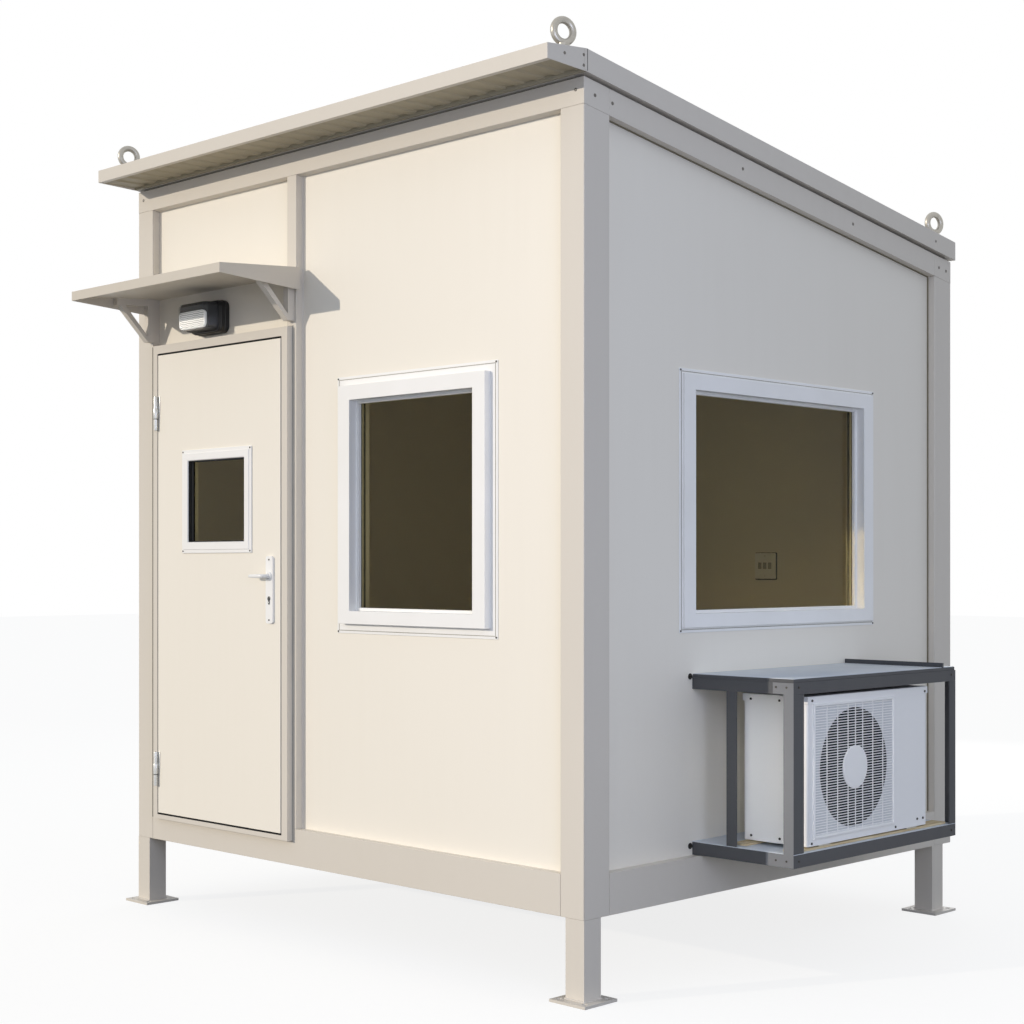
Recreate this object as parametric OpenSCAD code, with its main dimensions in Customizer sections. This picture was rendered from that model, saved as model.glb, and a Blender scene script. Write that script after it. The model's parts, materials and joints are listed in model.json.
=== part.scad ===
// Security guard booth on four legs: steel frame, sandwich-panel walls, single-pitch roof,
// outward-opening door under a small canopy, two fixed windows and a condenser on a wall cage.
// Millimetres, +Z up, ground at Z = 0. The front (door) side faces -Y.

/* [Cabin] */
// Outside width across the front posts
cabin_w = 2650; // [2300:10:3200]
// Outside depth from front posts to back posts
cabin_d = 2350; // [2100:10:3000]
// Height of the front rail's underside above the floor
wall_h = 2600; // [2500:10:2800]
// Fall of the roof towards the back, in degrees
roof_pitch = 8.2; // [5:0.1:10]

/* [Legs] */
// Side of the square leg tube
leg_size = 85; // [70:1:100]
// Wall of the leg tube
leg_wall = 5; // [3:0.5:8]
// Ground to the underside of the base frame
leg_h = 285; // [220:5:400]
// Side of the base plate
plate_size = 164; // [156:1:200]
// Thickness of the base plate
plate_t = 10; // [6:1:16]
// Anchor hole diameter
anchor_d = 18; // [14:1:22]
// Anchor hole centre from the plate's edge
anchor_edge = 24; // [20:1:28]
// Back legs stand in from the back face by this much
back_leg_inset = 65; // [0:5:150]

/* [Base] */
// Height of the base channel
beam_h = 145; // [120:5:200]
// Flange width of the base channel
beam_w = 60; // [45:1:80]
// Sheet thickness of the base channel
beam_t = 5; // [3:0.5:8]
// Number of floor joists
joist_count = 5; // [3:1:8]
// Width of a floor joist
joist_w = 50; // [30:1:70]
// Height of a floor joist
joist_h = 70; // [50:1:90]
// Thickness of the floor deck
deck_t = 20; // [12:1:30]

/* [Posts] */
// Corner post face seen from the front
post_w = 110; // [90:1:130]
// Corner post face seen from the side
post_d = 130; // [110:1:150]
// Fold radius of the posts
post_r = 4; // [2:0.5:8]
// Post between door and window starts beyond the leaf's gap by this much
door_post_off = 1; // [1:1:8]
// Width of the post between door and window
door_post_w = 58; // [50:1:80]

/* [Walls] */
// Thickness of a wall panel
panel_t = 75; // [50:1:90]
// Panel face behind the posts' faces
panel_recess = 35; // [20:1:40]

/* [Roof] */
// Height of the top rails
rail_h = 92; // [80:1:120]
// Height of the shadow gap under the roof edge
shadow_gap = 10; // [6:1:16]
// Fit gap between pieces that meet on the roof's fall
fit_gap = 0.1; // [0.05:0.05:0.2]
// Seal strip behind the rail's face
seal_inset = 18; // [10:1:30]
// Width of the seal strip
seal_w = 40; // [25:1:60]
// Height of the roof edge trims
fascia_h = 78; // [70:1:100]
// Width of a side trim
verge_w = 65; // [50:1:80]
// Side trims stand out from the posts' faces by this much
verge_proud = 15; // [5:1:25]
// Thickness of the sheet metal of trims and eave
trim_t = 3; // [2:0.5:5]
// Thickness of the roof panel without its ribs
roof_core_t = 45; // [35:1:60]
// Height of a roof rib
rib_h = 24; // [15:1:32]
// Spacing of the roof ribs
rib_pitch = 320; // [250:10:400]
// Width of a roof rib at its foot
rib_foot = 70; // [50:1:90]
// Width of a roof rib at its crown
rib_crown = 32; // [20:1:40]

/* [Front eave] */
// Reach of the eave in front of the posts
eave_reach = 195; // [150:5:260]
// Height of the eave's front face
eave_face_h = 52; // [40:1:70]
// Fall of the eave's top from the wall to the front
eave_fall = 20; // [0:1:40]
// Returned lip under the front face
eave_lip = 22; // [12:1:35]
// Spacing of the soffit ribs
soffit_pitch = 93; // [70:1:110]
// Height of the soffit ribs
soffit_rib_h = 6; // [4:1:12]
// Thickness of the soffit sheet
soffit_t = 3; // [2:0.5:5]

/* [Lifting eyes] */
// Inside diameter of an eye
eye_bore = 50; // [44:1:64]
// Bar diameter of an eye
eye_bar = 25; // [18:1:28]
// Collar diameter of an eye
eye_collar_d = 42; // [34:1:44]
// Collar height of an eye
eye_collar_h = 9; // [8:1:20]
// Eye centre in from the side of the cabin
eye_inset_x = 30; // [30:1:60]
// Front eye centre in front of the posts' faces
eye_front_y = 70; // [50:1:120]
// Back eye centre in from the back face
eye_back_y = 85; // [60:1:150]
// Turn of the eyes about the vertical, in degrees
eye_turn = 75; // [0:5:90]

/* [Canopy] */
// Left end of the canopy
canopy_x = 84; // [60:1:84]
// Canopy's right end past the post between door and window
canopy_over = 21; // [5:1:60]
// Reach of the canopy in front of the posts
canopy_reach = 387; // [300:1:450]
// Underside of the canopy's front lip above the door frame
canopy_up = 167; // [160:1:220]
// Height of the canopy's front lip
canopy_lip_h = 38; // [30:1:50]
// Rise of the canopy's top from lip to wall
canopy_rise = 27; // [10:1:50]
// Height of the canopy's side plates at the wall
canopy_side_h = 90; // [70:1:110]
// Thickness of the canopy's roof
canopy_t = 22; // [15:1:28]
// Thickness of the canopy's lip and side plates
canopy_plate = 4; // [3:0.5:6]
// Bar size of the canopy brackets
bracket_bar = 30; // [20:1:32]
// Height of a canopy bracket
bracket_h = 188; // [150:1:200]
// Reach of a canopy bracket
bracket_reach = 185; // [140:1:240]

/* [Lamp] */
// Lamp centre from the cabin's left side
lamp_x = 513; // [400:1:700]
// Lamp centre above the door frame
lamp_up = 91; // [76:1:100]
// Width of the lamp base
lamp_w = 215; // [180:1:240]
// Height of the lamp base
lamp_h = 138; // [120:1:145]
// Depth of the lamp base
lamp_base_t = 42; // [30:1:50]
// Depth of the lamp lens
lamp_lens_t = 80; // [50:1:90]
// Corner radius of the lamp
lamp_r = 32; // [20:1:45]
// Rim of the base round the lens
lamp_rim = 12; // [8:1:20]

/* [Door] */
// Door leaf's left edge from the cabin's left side
leaf_x = 192; // [185:1:200]
// Width of the door leaf
leaf_w = 852; // [760:1:900]
// Underside of the door leaf below the floor
leaf_drop = 20; // [12:1:25]
// Height of the door leaf
leaf_h = 1974; // [1850:1:1990]
// Door frame stands out from the posts' faces by this much
door_proud = 28; // [22:1:36]
// Gap between the leaf's lip and the frame it closes on
leaf_seat_gap = 5; // [5:0.5:7]
// Gap at the leaf's sides
leaf_side_gap = 6; // [5.5:0.5:8]
// Gap at the leaf's top and bottom
leaf_end_gap = 8; // [6:0.5:10]
// Width of the frame's face at the jambs
jamb_face = 37; // [30:1:37]
// Height of the frame's face at the head
head_face = 36; // [30:1:50]
// Height of the frame's face at the sill
sill_face = 19; // [12:1:25]
// Width of the stop that the leaf closes on
stop_w = 26; // [20:1:27]
// Height of the threshold above the floor
threshold_h = 12; // [8:1:20]
// Depth of the leaf's core behind its lip
core_t = 19; // [10:1:25]
// Gap round the leaf's core
core_gap = 8; // [7:0.5:12]
// Hinge knuckle diameter
knuckle_d = 18; // [16:1:20]
// Hinge pin diameter
pin_d = 10; // [8:0.5:11]
// Radial clearance of pins and spindles
pin_clear = 0.3; // [0.25:0.05:0.5]
// Length of one hinge half
knuckle_h = 74; // [60:1:90]
// Gap between the hinge halves
knuckle_gap = 0.4; // [0.3:0.1:1]
// Width of a hinge's fixing wing
wing_w = 30; // [24:1:34]
// Thickness of a hinge's fixing wing
wing_t = 3; // [2:0.5:4]
// Underside of the lower hinge above the leaf's underside
low_hinge_up = 115; // [70:5:300]
// Underside of the upper hinge below the leaf's top
high_hinge_down = 324; // [200:1:480]

/* [Door window] */
// Left edge of the door window's trim from the leaf's left edge
vision_x = 186; // [150:1:220]
// Underside of the door window's trim above the leaf's underside
vision_z = 1120; // [1000:1:1200]
// Width of the door window's trim
vision_w = 482; // [400:1:500]
// Height of the door window's trim
vision_h = 435; // [360:1:460]
// Face width of the trim
vision_face = 46; // [35:1:60]
// Trim stands out from the leaf by this much
vision_proud = 6; // [3:0.5:10]
// Trim sleeve wall inside the leaf
vision_sleeve = 8; // [5:0.5:12]

/* [Door handle] */
// Handle centre in from the leaf's free edge
handle_inset = 62; // [54:1:90]
// Lever axis above the leaf's underside
handle_z = 1025; // [900:5:1100]
// Width of the handle plate
handle_plate_w = 45; // [38:1:55]
// Height of the handle plate
handle_plate_h = 270; // [230:1:300]
// Top of the handle plate above the lever axis
handle_plate_up = 80; // [60:1:110]
// Thickness of the handle plate
handle_plate_t = 9; // [6:0.5:12]
// Lever neck diameter
neck_d = 20; // [16:0.5:24]
// Lever grip stands off the plate by this much
grip_off = 34; // [30:1:55]
// Lever grip length from its axis
grip_len = 92; // [80:1:140]
// Lever grip diameter
grip_d = 18; // [15:0.5:22]
// Spindle diameter
spindle_d = 12; // [8:0.5:14]

/* [Windows] */
// Wall between the door post and the front window's frame
front_win_left = 254; // [100:1:400]
// Wall between the front window's frame and the right post
front_win_right = 369; // [100:1:400]
// Front window's frame stands out from the wall panel by this much
front_win_proud = 31; // [12:1:45]
// Front edge of the side window's frame from the cabin's front
side_win_y = 562; // [400:1:700]
// Width of the side window's frame
side_win_w = 1220; // [900:1:1400]
// Side window's frame stands out from the wall panel by this much
side_win_proud = 14; // [8:1:40]
// Underside of the window frames above the floor
win_up = 823; // [720:1:920]
// Height of the window frames
win_h = 918; // [700:1:1000]
// Face width of the window frames at the sides
win_face = 65; // [50:1:80]
// Face height of the window frames at the head
win_head = 57; // [45:1:75]
// Face height of the window frames at the sill
win_sill = 50; // [40:1:75]
// Depth from the frame's face to the glazing bead
bead_at = 38; // [25:1:45]
// Step of the glazing bead
bead_w = 12; // [8:1:18]
// Depth from the frame's face to the glass
glass_at = 52; // [46:1:58]
// Thickness of the glass
glass_t = 6; // [4:0.5:10]
// Clearance of a pane in its groove
glass_clear = 0.3; // [0.2:0.1:1]
// Thickness of the inner glazing stop
inner_stop_t = 8; // [5:1:12]
// Fixing flange margin round the front window's frame
front_flange = 38; // [18:1:45]
// Fixing flange margin round the side window's frame
side_flange = 18; // [12:1:30]
// Thickness of the fixing flange
flange_t = 3; // [2:0.5:5]

/* [Condenser cage] */
// Front end of the cage from the cabin's front
cage_y = 621; // [560:1:660]
// Length of the cage along the wall
cage_l = 1068; // [1000:1:1200]
// Reach of the cage from the wall panel
cage_reach = 446; // [440:1:520]
// Underside of the cage above the floor level
cage_lift = 2; // [2:1:40]
// Height of the cage to the underside of its cover
cage_h = 641; // [640:1:700]
// Height of the lower bars
cage_low_h = 46; // [40:1:54]
// Height of the upper bars
cage_up_h = 42; // [35:1:50]
// Width of the bars and uprights
cage_bar = 44; // [36:1:50]
// Wall of the angle uprights
cage_wall = 6; // [4:0.5:8]
// Back uprights stand off the wall panel by this much
cage_back_off = 155; // [60:1:250]
// Thickness of the tray sheet on the lower bars
tray_t = 2; // [1.5:0.5:5]
// Thickness of the cover
cover_t = 12; // [8:1:20]
// Cover edge in from the outer face of the bars
cover_in = 3; // [0:1:10]
// Height of the rail across the cover
cover_rail_h = 18; // [8:1:25]
// Width of the rail across the cover
cover_rail_w = 10; // [6:1:20]
// Rail in from the cover's far edge by this much
cover_rail_in = 79; // [0:1:120]

/* [Condenser] */
// Front end of the condenser from the cabin's front
unit_y = 728; // [715:1:745]
// Width of the condenser
unit_w = 780; // [720:1:790]
// Depth of the condenser
unit_d = 278; // [260:1:290]
// Height of the condenser
unit_h = 526; // [500:1:535]
// Condenser's face behind the cage's outer face
unit_set_back = 18; // [10:1:30]
// Height of the timber bearers
bearer_h = 8; // [6:1:16]
// Width of the timber bearers
bearer_w = 60; // [40:1:80]
// Height of the condenser's feet
foot_h = 4; // [3:1:10]
// Length of the condenser's feet
foot_l = 70; // [50:1:100]
// Corner radius of the condenser
unit_r = 10; // [5:1:15]
// Diameter of the fan opening
fan_d = 430; // [380:1:440]
// Fan centre from the condenser's front end
fan_y = 289; // [270:1:310]
// Fan centre above the condenser's underside
fan_z = 260; // [250:1:265]
// Depth of the fan recess
fan_depth = 90; // [50:1:150]
// Width of the slatted guard
guard_w = 520; // [490:1:540]
// Height of the slatted guard
guard_h = 476; // [460:1:480]
// Guard's edge from the condenser's front end
guard_y = 30; // [20:1:40]
// Guard stands out from the condenser's face by this much
guard_t = 8; // [5:1:12]
// Spacing of the guard's slats
slat_pitch = 9.5; // [8:0.5:14]
// Height of a slot between two slats
slot_h = 5; // [3:0.5:6]
// Number of columns of slots
slot_cols = 8; // [5:1:12]
// Width of the bars between the columns of slots
guard_bar = 7; // [4:0.5:10]
// Diameter of the guard's centre disc
hub_d = 155; // [120:1:180]

/* [Switch] */
// Switch plate centre from the cabin's left side
switch_x = 1753; // [1500:1:1900]
// Switch plate centre above the floor
switch_up = 1045; // [900:1:1300]
// Width of the switch plate
switch_w = 146; // [86:1:160]
// Height of the switch plate
switch_h = 86; // [80:1:100]
// Thickness of the switch plate
switch_t = 10; // [6:1:14]

/* [Hidden] */

// Fineness of round work
$fn = 48;
// A cut runs past the face it opens by this much
past = 1;

steel_c = "#D3CBBE";
panel_c = "#F0E9DA";
white_c = "#F2F2EE";
glass_c = "#4A4638";
dark_c = "#4B4D53";
cover_c = "#99A0A7";
zinc_c = "#A9A7A1";
black_c = "#26262A";
floor_c = "#8F8A80";

fall = tan(roof_pitch);
base_z = leg_h;
floor_z = leg_h + beam_h;
leg_y_front = leg_size / 2;
leg_y_back = cabin_d - back_leg_inset - leg_size / 2;
mid_y = (leg_y_front + leg_y_back) / 2;
eaves_z = floor_z + wall_h;
leaf_z = floor_z - leaf_drop;
win_z = floor_z + win_up;
switch_z = floor_z + switch_up;
panel_in = panel_recess + panel_t;
wall_top = eaves_z - fit_gap;
rail_top = eaves_z + rail_h;
roof_under = rail_top + shadow_gap;
roof_top = roof_under + fascia_h;
room_x1 = cabin_w - panel_in;
room_y1 = cabin_d - panel_in;
frame_y = -door_proud;
lip_back = -leaf_seat_gap;
leaf_x1 = leaf_x + leaf_w;
leaf_z1 = leaf_z + leaf_h;
gap_x0 = leaf_x - leaf_side_gap;
gap_x1 = leaf_x1 + leaf_side_gap;
door_post_x = gap_x1 + door_post_off;
door_post_x1 = door_post_x + door_post_w;
gap_z0 = leaf_z - leaf_end_gap;
gap_z1 = leaf_z1 + leaf_end_gap;
head_z = gap_z1 + head_face;
stop_x0 = gap_x0 + stop_w;
stop_x1 = gap_x1 - stop_w;
stop_z0 = floor_z + threshold_h;
stop_z1 = gap_z1 - stop_w;
core_back = lip_back + core_t;
hinge_x = leaf_x - leaf_side_gap / 2;
hinge_y = frame_y - wing_t / 2 - knuckle_d / 2;
handle_x = leaf_x1 - handle_inset;
lever_z = leaf_z + handle_z;
low_hinge_z = leaf_z + low_hinge_up;
high_hinge_z = leaf_z1 - high_hinge_down;
lamp_z = head_z + lamp_up;
canopy_z = head_z + canopy_up;
canopy_w = door_post_x1 + canopy_over - canopy_x;
front_win_x = door_post_x1 + front_win_left;
front_win_w = cabin_w - post_w - front_win_right - front_win_x;
eye_r = (eye_bore + eye_bar) / 2;
wall_x = cabin_w - panel_recess;
cage_x1 = wall_x + cage_reach;
cage_y1 = cage_y + cage_l;
cage_z = floor_z + cage_lift;
tray_z = cage_z + cage_low_h;
seat_z = tray_z + tray_t;
cage_top = cage_z + cage_h;
unit_x1 = cage_x1 - unit_set_back;
unit_x0 = unit_x1 - unit_d;
unit_z = seat_z + bearer_h + foot_h;
fan_cy = unit_y + fan_y;
fan_cz = unit_z + fan_z;
canopy_top = canopy_z + canopy_lip_h;
canopy_under = canopy_top + canopy_rise - canopy_t;
bracket_xs = [canopy_x + canopy_plate, door_post_x + (door_post_w - bracket_bar) / 2];
eave_slope = eave_fall / eave_reach;
eave_lip_z = roof_top - eave_fall - eave_face_h;
timber_c = "#C9A667";

// Height of a line that falls with the roof, from z at the front posts' faces
function falling(z, y) = z - y * fall;

// From the cabin's front left corner to the origin in the middle of the legs
module on_site() {
    translate([-cabin_w / 2, -mid_y, 0]) children();
}

module block(low, high) {
    translate(low) cube(high - low);
}

// Profile in Y and Z, pushed out along X
module along_x(x0, x1) {
    translate([x0, 0, 0]) rotate([90, 0, 90]) linear_extrude(x1 - x0) children();
}

// Profile in X and Z, pushed out along Y
module along_y(y0, y1) {
    translate([0, y1, 0]) rotate([90, 0, 0]) linear_extrude(y1 - y0) children();
}

// Band between two heights that fall with the roof, seen from the side
module falling_band(y0, y1, z0, z1) {
    polygon([[y0, falling(z0, y0)], [y1, falling(z0, y1)], [y1, falling(z1, y1)], [y0, falling(z1, y0)]]);
}

// Upright shape under a falling line, seen from the side
module falling_wall(y0, y1, low, high) {
    polygon([[y0, low], [y1, low], [y1, falling(high, y1)], [y0, falling(high, y0)]]);
}

module round_rect(w, h, r) {
    translate([r, 0]) square([w - 2 * r, h]);
    translate([0, r]) square([w, h - 2 * r]);
    for (x = [r, w - r])
        for (y = [r, h - r])
            translate([x, y]) circle(r);
}

module ring_2d(w, h, side, low, high) {
    difference() {
        square([w, h]);
        translate([side, low]) square([w - 2 * side, h - low - high]);
    }
}

// One leg tube with its drilled base plate, on its own centre
module leg() {
    translate([0, 0, plate_t]) linear_extrude(leg_h - plate_t) difference() {
        square(leg_size, center = true);
        square(leg_size - 2 * leg_wall, center = true);
    }
    reach = plate_size / 2 - anchor_edge;
    difference() {
        translate([0, 0, plate_t / 2]) cube([plate_size, plate_size, plate_t], center = true);
        for (x = [-reach, reach])
            for (y = [-reach, reach])
                translate([x, y, -past]) cylinder(d = anchor_d, h = plate_t + 2 * past);
    }
}

module legs() {
    color(steel_c) on_site()
        for (x = [leg_size / 2, cabin_w - leg_size / 2])
            for (y = [leg_y_front, leg_y_back])
                translate([x, y, 0]) leg();
}

// Channel profile with its back at the outside and its flanges inwards
module channel_2d() {
    difference() {
        square([beam_w, beam_h]);
        translate([beam_t, beam_t]) square([beam_w, beam_h - 2 * beam_t]);
    }
}

module base_beams() {
    color(steel_c) on_site() {
        along_x(post_w, cabin_w - post_w) translate([0, base_z]) channel_2d();
        along_x(post_w, cabin_w - post_w) translate([cabin_d, base_z]) mirror([1, 0]) channel_2d();
        along_y(post_d, cabin_d - post_d) translate([0, base_z]) channel_2d();
        along_y(post_d, cabin_d - post_d) translate([cabin_w, base_z]) mirror([1, 0]) channel_2d();
    }
}

module floor_joists() {
    step = (cabin_w - 2 * post_w - joist_w) / (joist_count - 1);
    color(steel_c) on_site()
        for (i = [0 : joist_count - 1])
            translate([post_w + i * step, beam_w, floor_z - deck_t - joist_h])
                cube([joist_w, cabin_d - 2 * beam_w, joist_h]);
}

module floor_deck() {
    color(floor_c) on_site() difference() {
        block([beam_w, beam_w, floor_z - deck_t], [cabin_w - beam_w, cabin_d - beam_w, floor_z]);
        for (x = [0, cabin_w - post_w])
            for (y = [0, cabin_d - post_d])
                translate([x, y, base_z]) cube([post_w, post_d, beam_h + past]);
    }
}

// Corner post cut to the roof's fall
module corner_post(x, y) {
    intersection() {
        along_x(x, x + post_w) falling_wall(y, y + post_d, base_z, wall_top);
        translate([x, y, base_z]) linear_extrude(eaves_z) round_rect(post_w, post_d, post_r);
    }
}

module corner_posts() {
    color(steel_c) on_site()
        for (x = [0, cabin_w - post_w])
            for (y = [0, cabin_d - post_d])
                corner_post(x, y);
}

module door_post() {
    color(steel_c) on_site()
        along_x(door_post_x, door_post_x1) falling_wall(0, panel_in, floor_z, wall_top);
}

module front_wall() {
    color(panel_c) on_site() difference() {
        along_x(door_post_x1, cabin_w - post_w) falling_wall(panel_recess, panel_in, floor_z, wall_top);
        translate([front_win_x, 0, win_z]) cube([front_win_w, cabin_d / 2, win_h]);
    }
}

module over_door_panel() {
    color(panel_c) on_site()
        along_x(post_w, door_post_x) falling_wall(panel_recess, panel_in, head_z, wall_top);
}

module left_wall() {
    color(panel_c) on_site()
        along_x(panel_recess, panel_in) falling_wall(post_d, cabin_d - post_d, floor_z, wall_top);
}

module right_wall() {
    color(panel_c) on_site() difference() {
        along_x(room_x1, wall_x) falling_wall(post_d, cabin_d - post_d, floor_z, wall_top);
        translate([cabin_w / 2, side_win_y, win_z]) cube([cabin_w / 2, side_win_w, win_h]);
    }
}

module back_wall() {
    color(panel_c) on_site() along_x(post_w, cabin_w - post_w)
        falling_wall(room_y1, cabin_d - panel_recess, floor_z, wall_top);
}

module front_top_rail() {
    color(steel_c) on_site() along_x(0, cabin_w) falling_band(0, post_d, eaves_z, rail_top);
}

module back_top_rail() {
    color(steel_c) on_site()
        along_x(0, cabin_w) falling_band(cabin_d - post_d, cabin_d, eaves_z, rail_top);
}

module side_top_rails() {
    color(steel_c) on_site()
        for (x = [0, cabin_w - panel_in])
            along_x(x, x + panel_in) falling_band(post_d, cabin_d - post_d, eaves_z, rail_top);
}

// Dark strip round the top of the rails that makes the shadow gap
module roof_seal() {
    color(black_c) on_site() difference() {
        along_x(seal_inset, cabin_w - seal_inset)
            falling_band(seal_inset, cabin_d - seal_inset, rail_top + fit_gap, roof_under - fit_gap);
        translate([seal_inset + seal_w, seal_inset + seal_w, 0])
            cube([cabin_w - 2 * (seal_inset + seal_w), cabin_d - 2 * (seal_inset + seal_w), 2 * roof_top]);
    }
}

// Flat panel with trapezoid ribs, seen along the fall
module roof_section() {
    w = cabin_w + 2 * verge_proud - 2 * verge_w;
    ribs = floor((w - rib_foot) / rib_pitch);
    translate([verge_w - verge_proud, 0]) square([w, roof_core_t]);
    for (i = [0 : ribs])
        translate([cabin_w / 2 + (i - ribs / 2) * rib_pitch, roof_core_t - past / 2])
            polygon([[-rib_foot / 2, 0], [rib_foot / 2, 0], [rib_crown / 2, rib_h], [-rib_crown / 2, rib_h]]);
}

module roof_panel() {
    color(panel_c) on_site() intersection() {
        translate([0, 0, roof_under]) rotate([-roof_pitch, 0, 0]) along_y(-post_d, 2 * cabin_d) roof_section();
        block([-cabin_w, 0, 0], [2 * cabin_w, cabin_d + verge_proud - verge_w, 2 * roof_top]);
    }
}

// Outline of the tapered front eave, seen from the side
module eave_outline() {
    polygon([[-eave_reach, eave_lip_z], [0, roof_under], [0, roof_top], [-eave_reach, roof_top - eave_fall]]);
}

// Folded sheet of the eave: top, front face and returned lip
module eave_sheet() {
    polygon([[-eave_reach, roof_top - eave_fall], [0, roof_top], [0, roof_top - trim_t],
        [-eave_reach, roof_top - eave_fall - trim_t]]);
    translate([-eave_reach, eave_lip_z]) square([trim_t, eave_face_h]);
    translate([-eave_reach, eave_lip_z]) square([eave_lip, trim_t]);
}

module eave_trim() {
    x0 = -verge_proud;
    x1 = cabin_w + verge_proud;
    color(steel_c) on_site() {
        along_x(x0, x1) eave_sheet();
        along_x(x0, x0 + trim_t) eave_outline();
        along_x(x1 - trim_t, x1) eave_outline();
    }
}

// One period of the soffit's trapezoid profile, as shares of its pitch and height
soffit_wave = [[0, 0], [0.4, 0], [0.5, 1], [0.9, 1]];

module eave_soffit() {
    w = cabin_w + 2 * (verge_proud - trim_t);
    count = floor(w / soffit_pitch);
    x0 = (w - count * soffit_pitch) / 2;
    wave = [for (i = [0 : count - 1]) for (p = soffit_wave)
        [x0 + (i + p[0]) * soffit_pitch, p[1] * soffit_rib_h]];
    line = concat([[0, 0]], wave, [[w - x0, 0], [w, 0]]);
    back = [for (i = [len(line) - 1 : -1 : 0]) line[i] + [0, soffit_t]];
    color(steel_c) on_site() translate([trim_t - verge_proud, 0, eave_lip_z + trim_t])
        along_y(trim_t - eave_reach, 0) polygon(concat(line, back));
}

module verge_trims() {
    color(steel_c) on_site()
        for (x = [-verge_proud, cabin_w + verge_proud - verge_w])
            along_x(x, x + verge_w) falling_band(0, cabin_d + verge_proud, roof_under, roof_top);
}

module back_fascia() {
    y1 = cabin_d + verge_proud;
    color(steel_c) on_site() along_x(verge_w - verge_proud, cabin_w + verge_proud - verge_w)
        falling_band(y1 - verge_w, y1, roof_under, roof_top);
}

// Ring on a collar, its seat at Z = 0 and its foot run on below
module lifting_eye() {
    rise = eye_collar_h + eye_bar / 2 + eye_r;
    translate([0, 0, rise]) rotate([90, 0, eye_turn]) rotate_extrude() translate([eye_r, 0]) circle(d = eye_bar);
    translate([0, 0, -fascia_h]) cylinder(d = eye_collar_d, h = fascia_h + eye_collar_h + eye_bar / 3);
}

module lifting_eyes() {
    front_z = roof_top - eave_front_drop();
    back_y = cabin_d - eye_back_y;
    color(zinc_c) on_site()
        for (x = [eye_inset_x, cabin_w - eye_inset_x]) {
            difference() {
                translate([x, -eye_front_y, front_z]) lifting_eye();
                along_x(-cabin_w, 2 * cabin_w) eave_solid();
            }
            difference() {
                translate([x, back_y, falling(roof_top, back_y)]) lifting_eye();
                along_x(-cabin_w, 2 * cabin_w) falling_band(0, 2 * cabin_d, roof_under - fascia_h, roof_top);
            }
        }
}

// Everything below the eave's top, seen from the side
module eave_solid() {
    polygon([[-2 * eave_reach, roof_top - 2 * eave_fall], [0, roof_top], [0, 0], [-2 * eave_reach, 0]]);
}

function eave_front_drop() = eye_front_y * eave_slope;

// Sloped canopy with a front lip, tapered side plates and a flange back to the wall panel
module canopy() {
    x1 = canopy_x + canopy_w;
    color(steel_c) on_site() {
        along_x(canopy_x, x1) {
            polygon([[-canopy_reach, canopy_top], [0, canopy_top + canopy_rise], [0, canopy_under],
                [-canopy_reach, canopy_top - canopy_t]]);
            translate([-canopy_reach, canopy_z]) square([canopy_plate, canopy_lip_h]);
        }
        for (x = [canopy_x, x1 - canopy_plate])
            along_x(x, x + canopy_plate)
                polygon([[-canopy_reach, canopy_z], [-canopy_reach, canopy_top], [0, canopy_top + canopy_rise],
                    [0, canopy_top + canopy_rise - canopy_side_h]]);
        block([post_w, 0, canopy_under], [door_post_x, panel_recess, canopy_under + canopy_t]);
    }
}

// Upright, arm and strut of a canopy bracket, seen from the side
module bracket_outline() {
    slope = canopy_rise / canopy_reach;
    low = canopy_under - bracket_h;
    tip = canopy_under - bracket_reach * slope;
    translate([-bracket_bar, low]) square([bracket_bar, bracket_h - bracket_bar * slope]);
    polygon([[0, canopy_under], [0, canopy_under - bracket_bar], [-bracket_reach, tip - bracket_bar],
        [-bracket_reach, tip]]);
    polygon([[-bracket_bar, low], [-bracket_bar / 4, low], [bracket_bar - bracket_reach, tip - bracket_bar / 2],
        [-bracket_reach, tip - bracket_bar / 2]]);
}

module canopy_brackets() {
    color(steel_c) on_site()
        for (x = bracket_xs)
            along_x(x, x + bracket_bar) bracket_outline();
}

module lamp_outline(inset) {
    w = lamp_w - 2 * inset;
    h = lamp_h - 2 * inset;
    translate([lamp_x - w / 2, lamp_z - h / 2]) round_rect(w, h, lamp_r - inset / 2);
}

module lamp_base() {
    color(black_c) on_site() along_y(panel_recess - lamp_base_t, panel_recess) lamp_outline(0);
}

// Drafted lens, smaller at its front
module lamp_lens() {
    y0 = panel_recess - lamp_base_t;
    color(white_c) on_site() hull() {
        along_y(y0 - lamp_lens_t * 0.7, y0) lamp_outline(lamp_rim, $fn = 32);
        along_y(y0 - lamp_lens_t, y0) lamp_outline(2 * lamp_rim, $fn = 32);
    }
}

module door_frame() {
    x0 = gap_x0 - jamb_face;
    z0 = gap_z0 - sill_face;
    color(steel_c) on_site() {
        difference() {
            block([x0, frame_y, z0], [gap_x1 + jamb_face, 0, head_z]);
            block([gap_x0, frame_y - past, gap_z0], [gap_x1, past, gap_z1]);
        }
        difference() {
            block([post_w, 0, floor_z], [door_post_x, panel_in, head_z]);
            block([stop_x0, -past, stop_z0], [stop_x1, panel_in + past, stop_z1]);
        }
    }
}

// Fixed hinge half: knuckle, wing on the jamb and rising pin
module hinge_pins() {
    color(zinc_c) on_site()
        for (z = [low_hinge_z, high_hinge_z]) {
            translate([hinge_x, hinge_y, z]) cylinder(d = knuckle_d, h = knuckle_h);
            translate([hinge_x, hinge_y, z]) cylinder(d = pin_d, h = 2 * knuckle_h);
            block([hinge_x - wing_w, frame_y - wing_t, z], [hinge_x, frame_y, z + knuckle_h]);
        }
}

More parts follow.
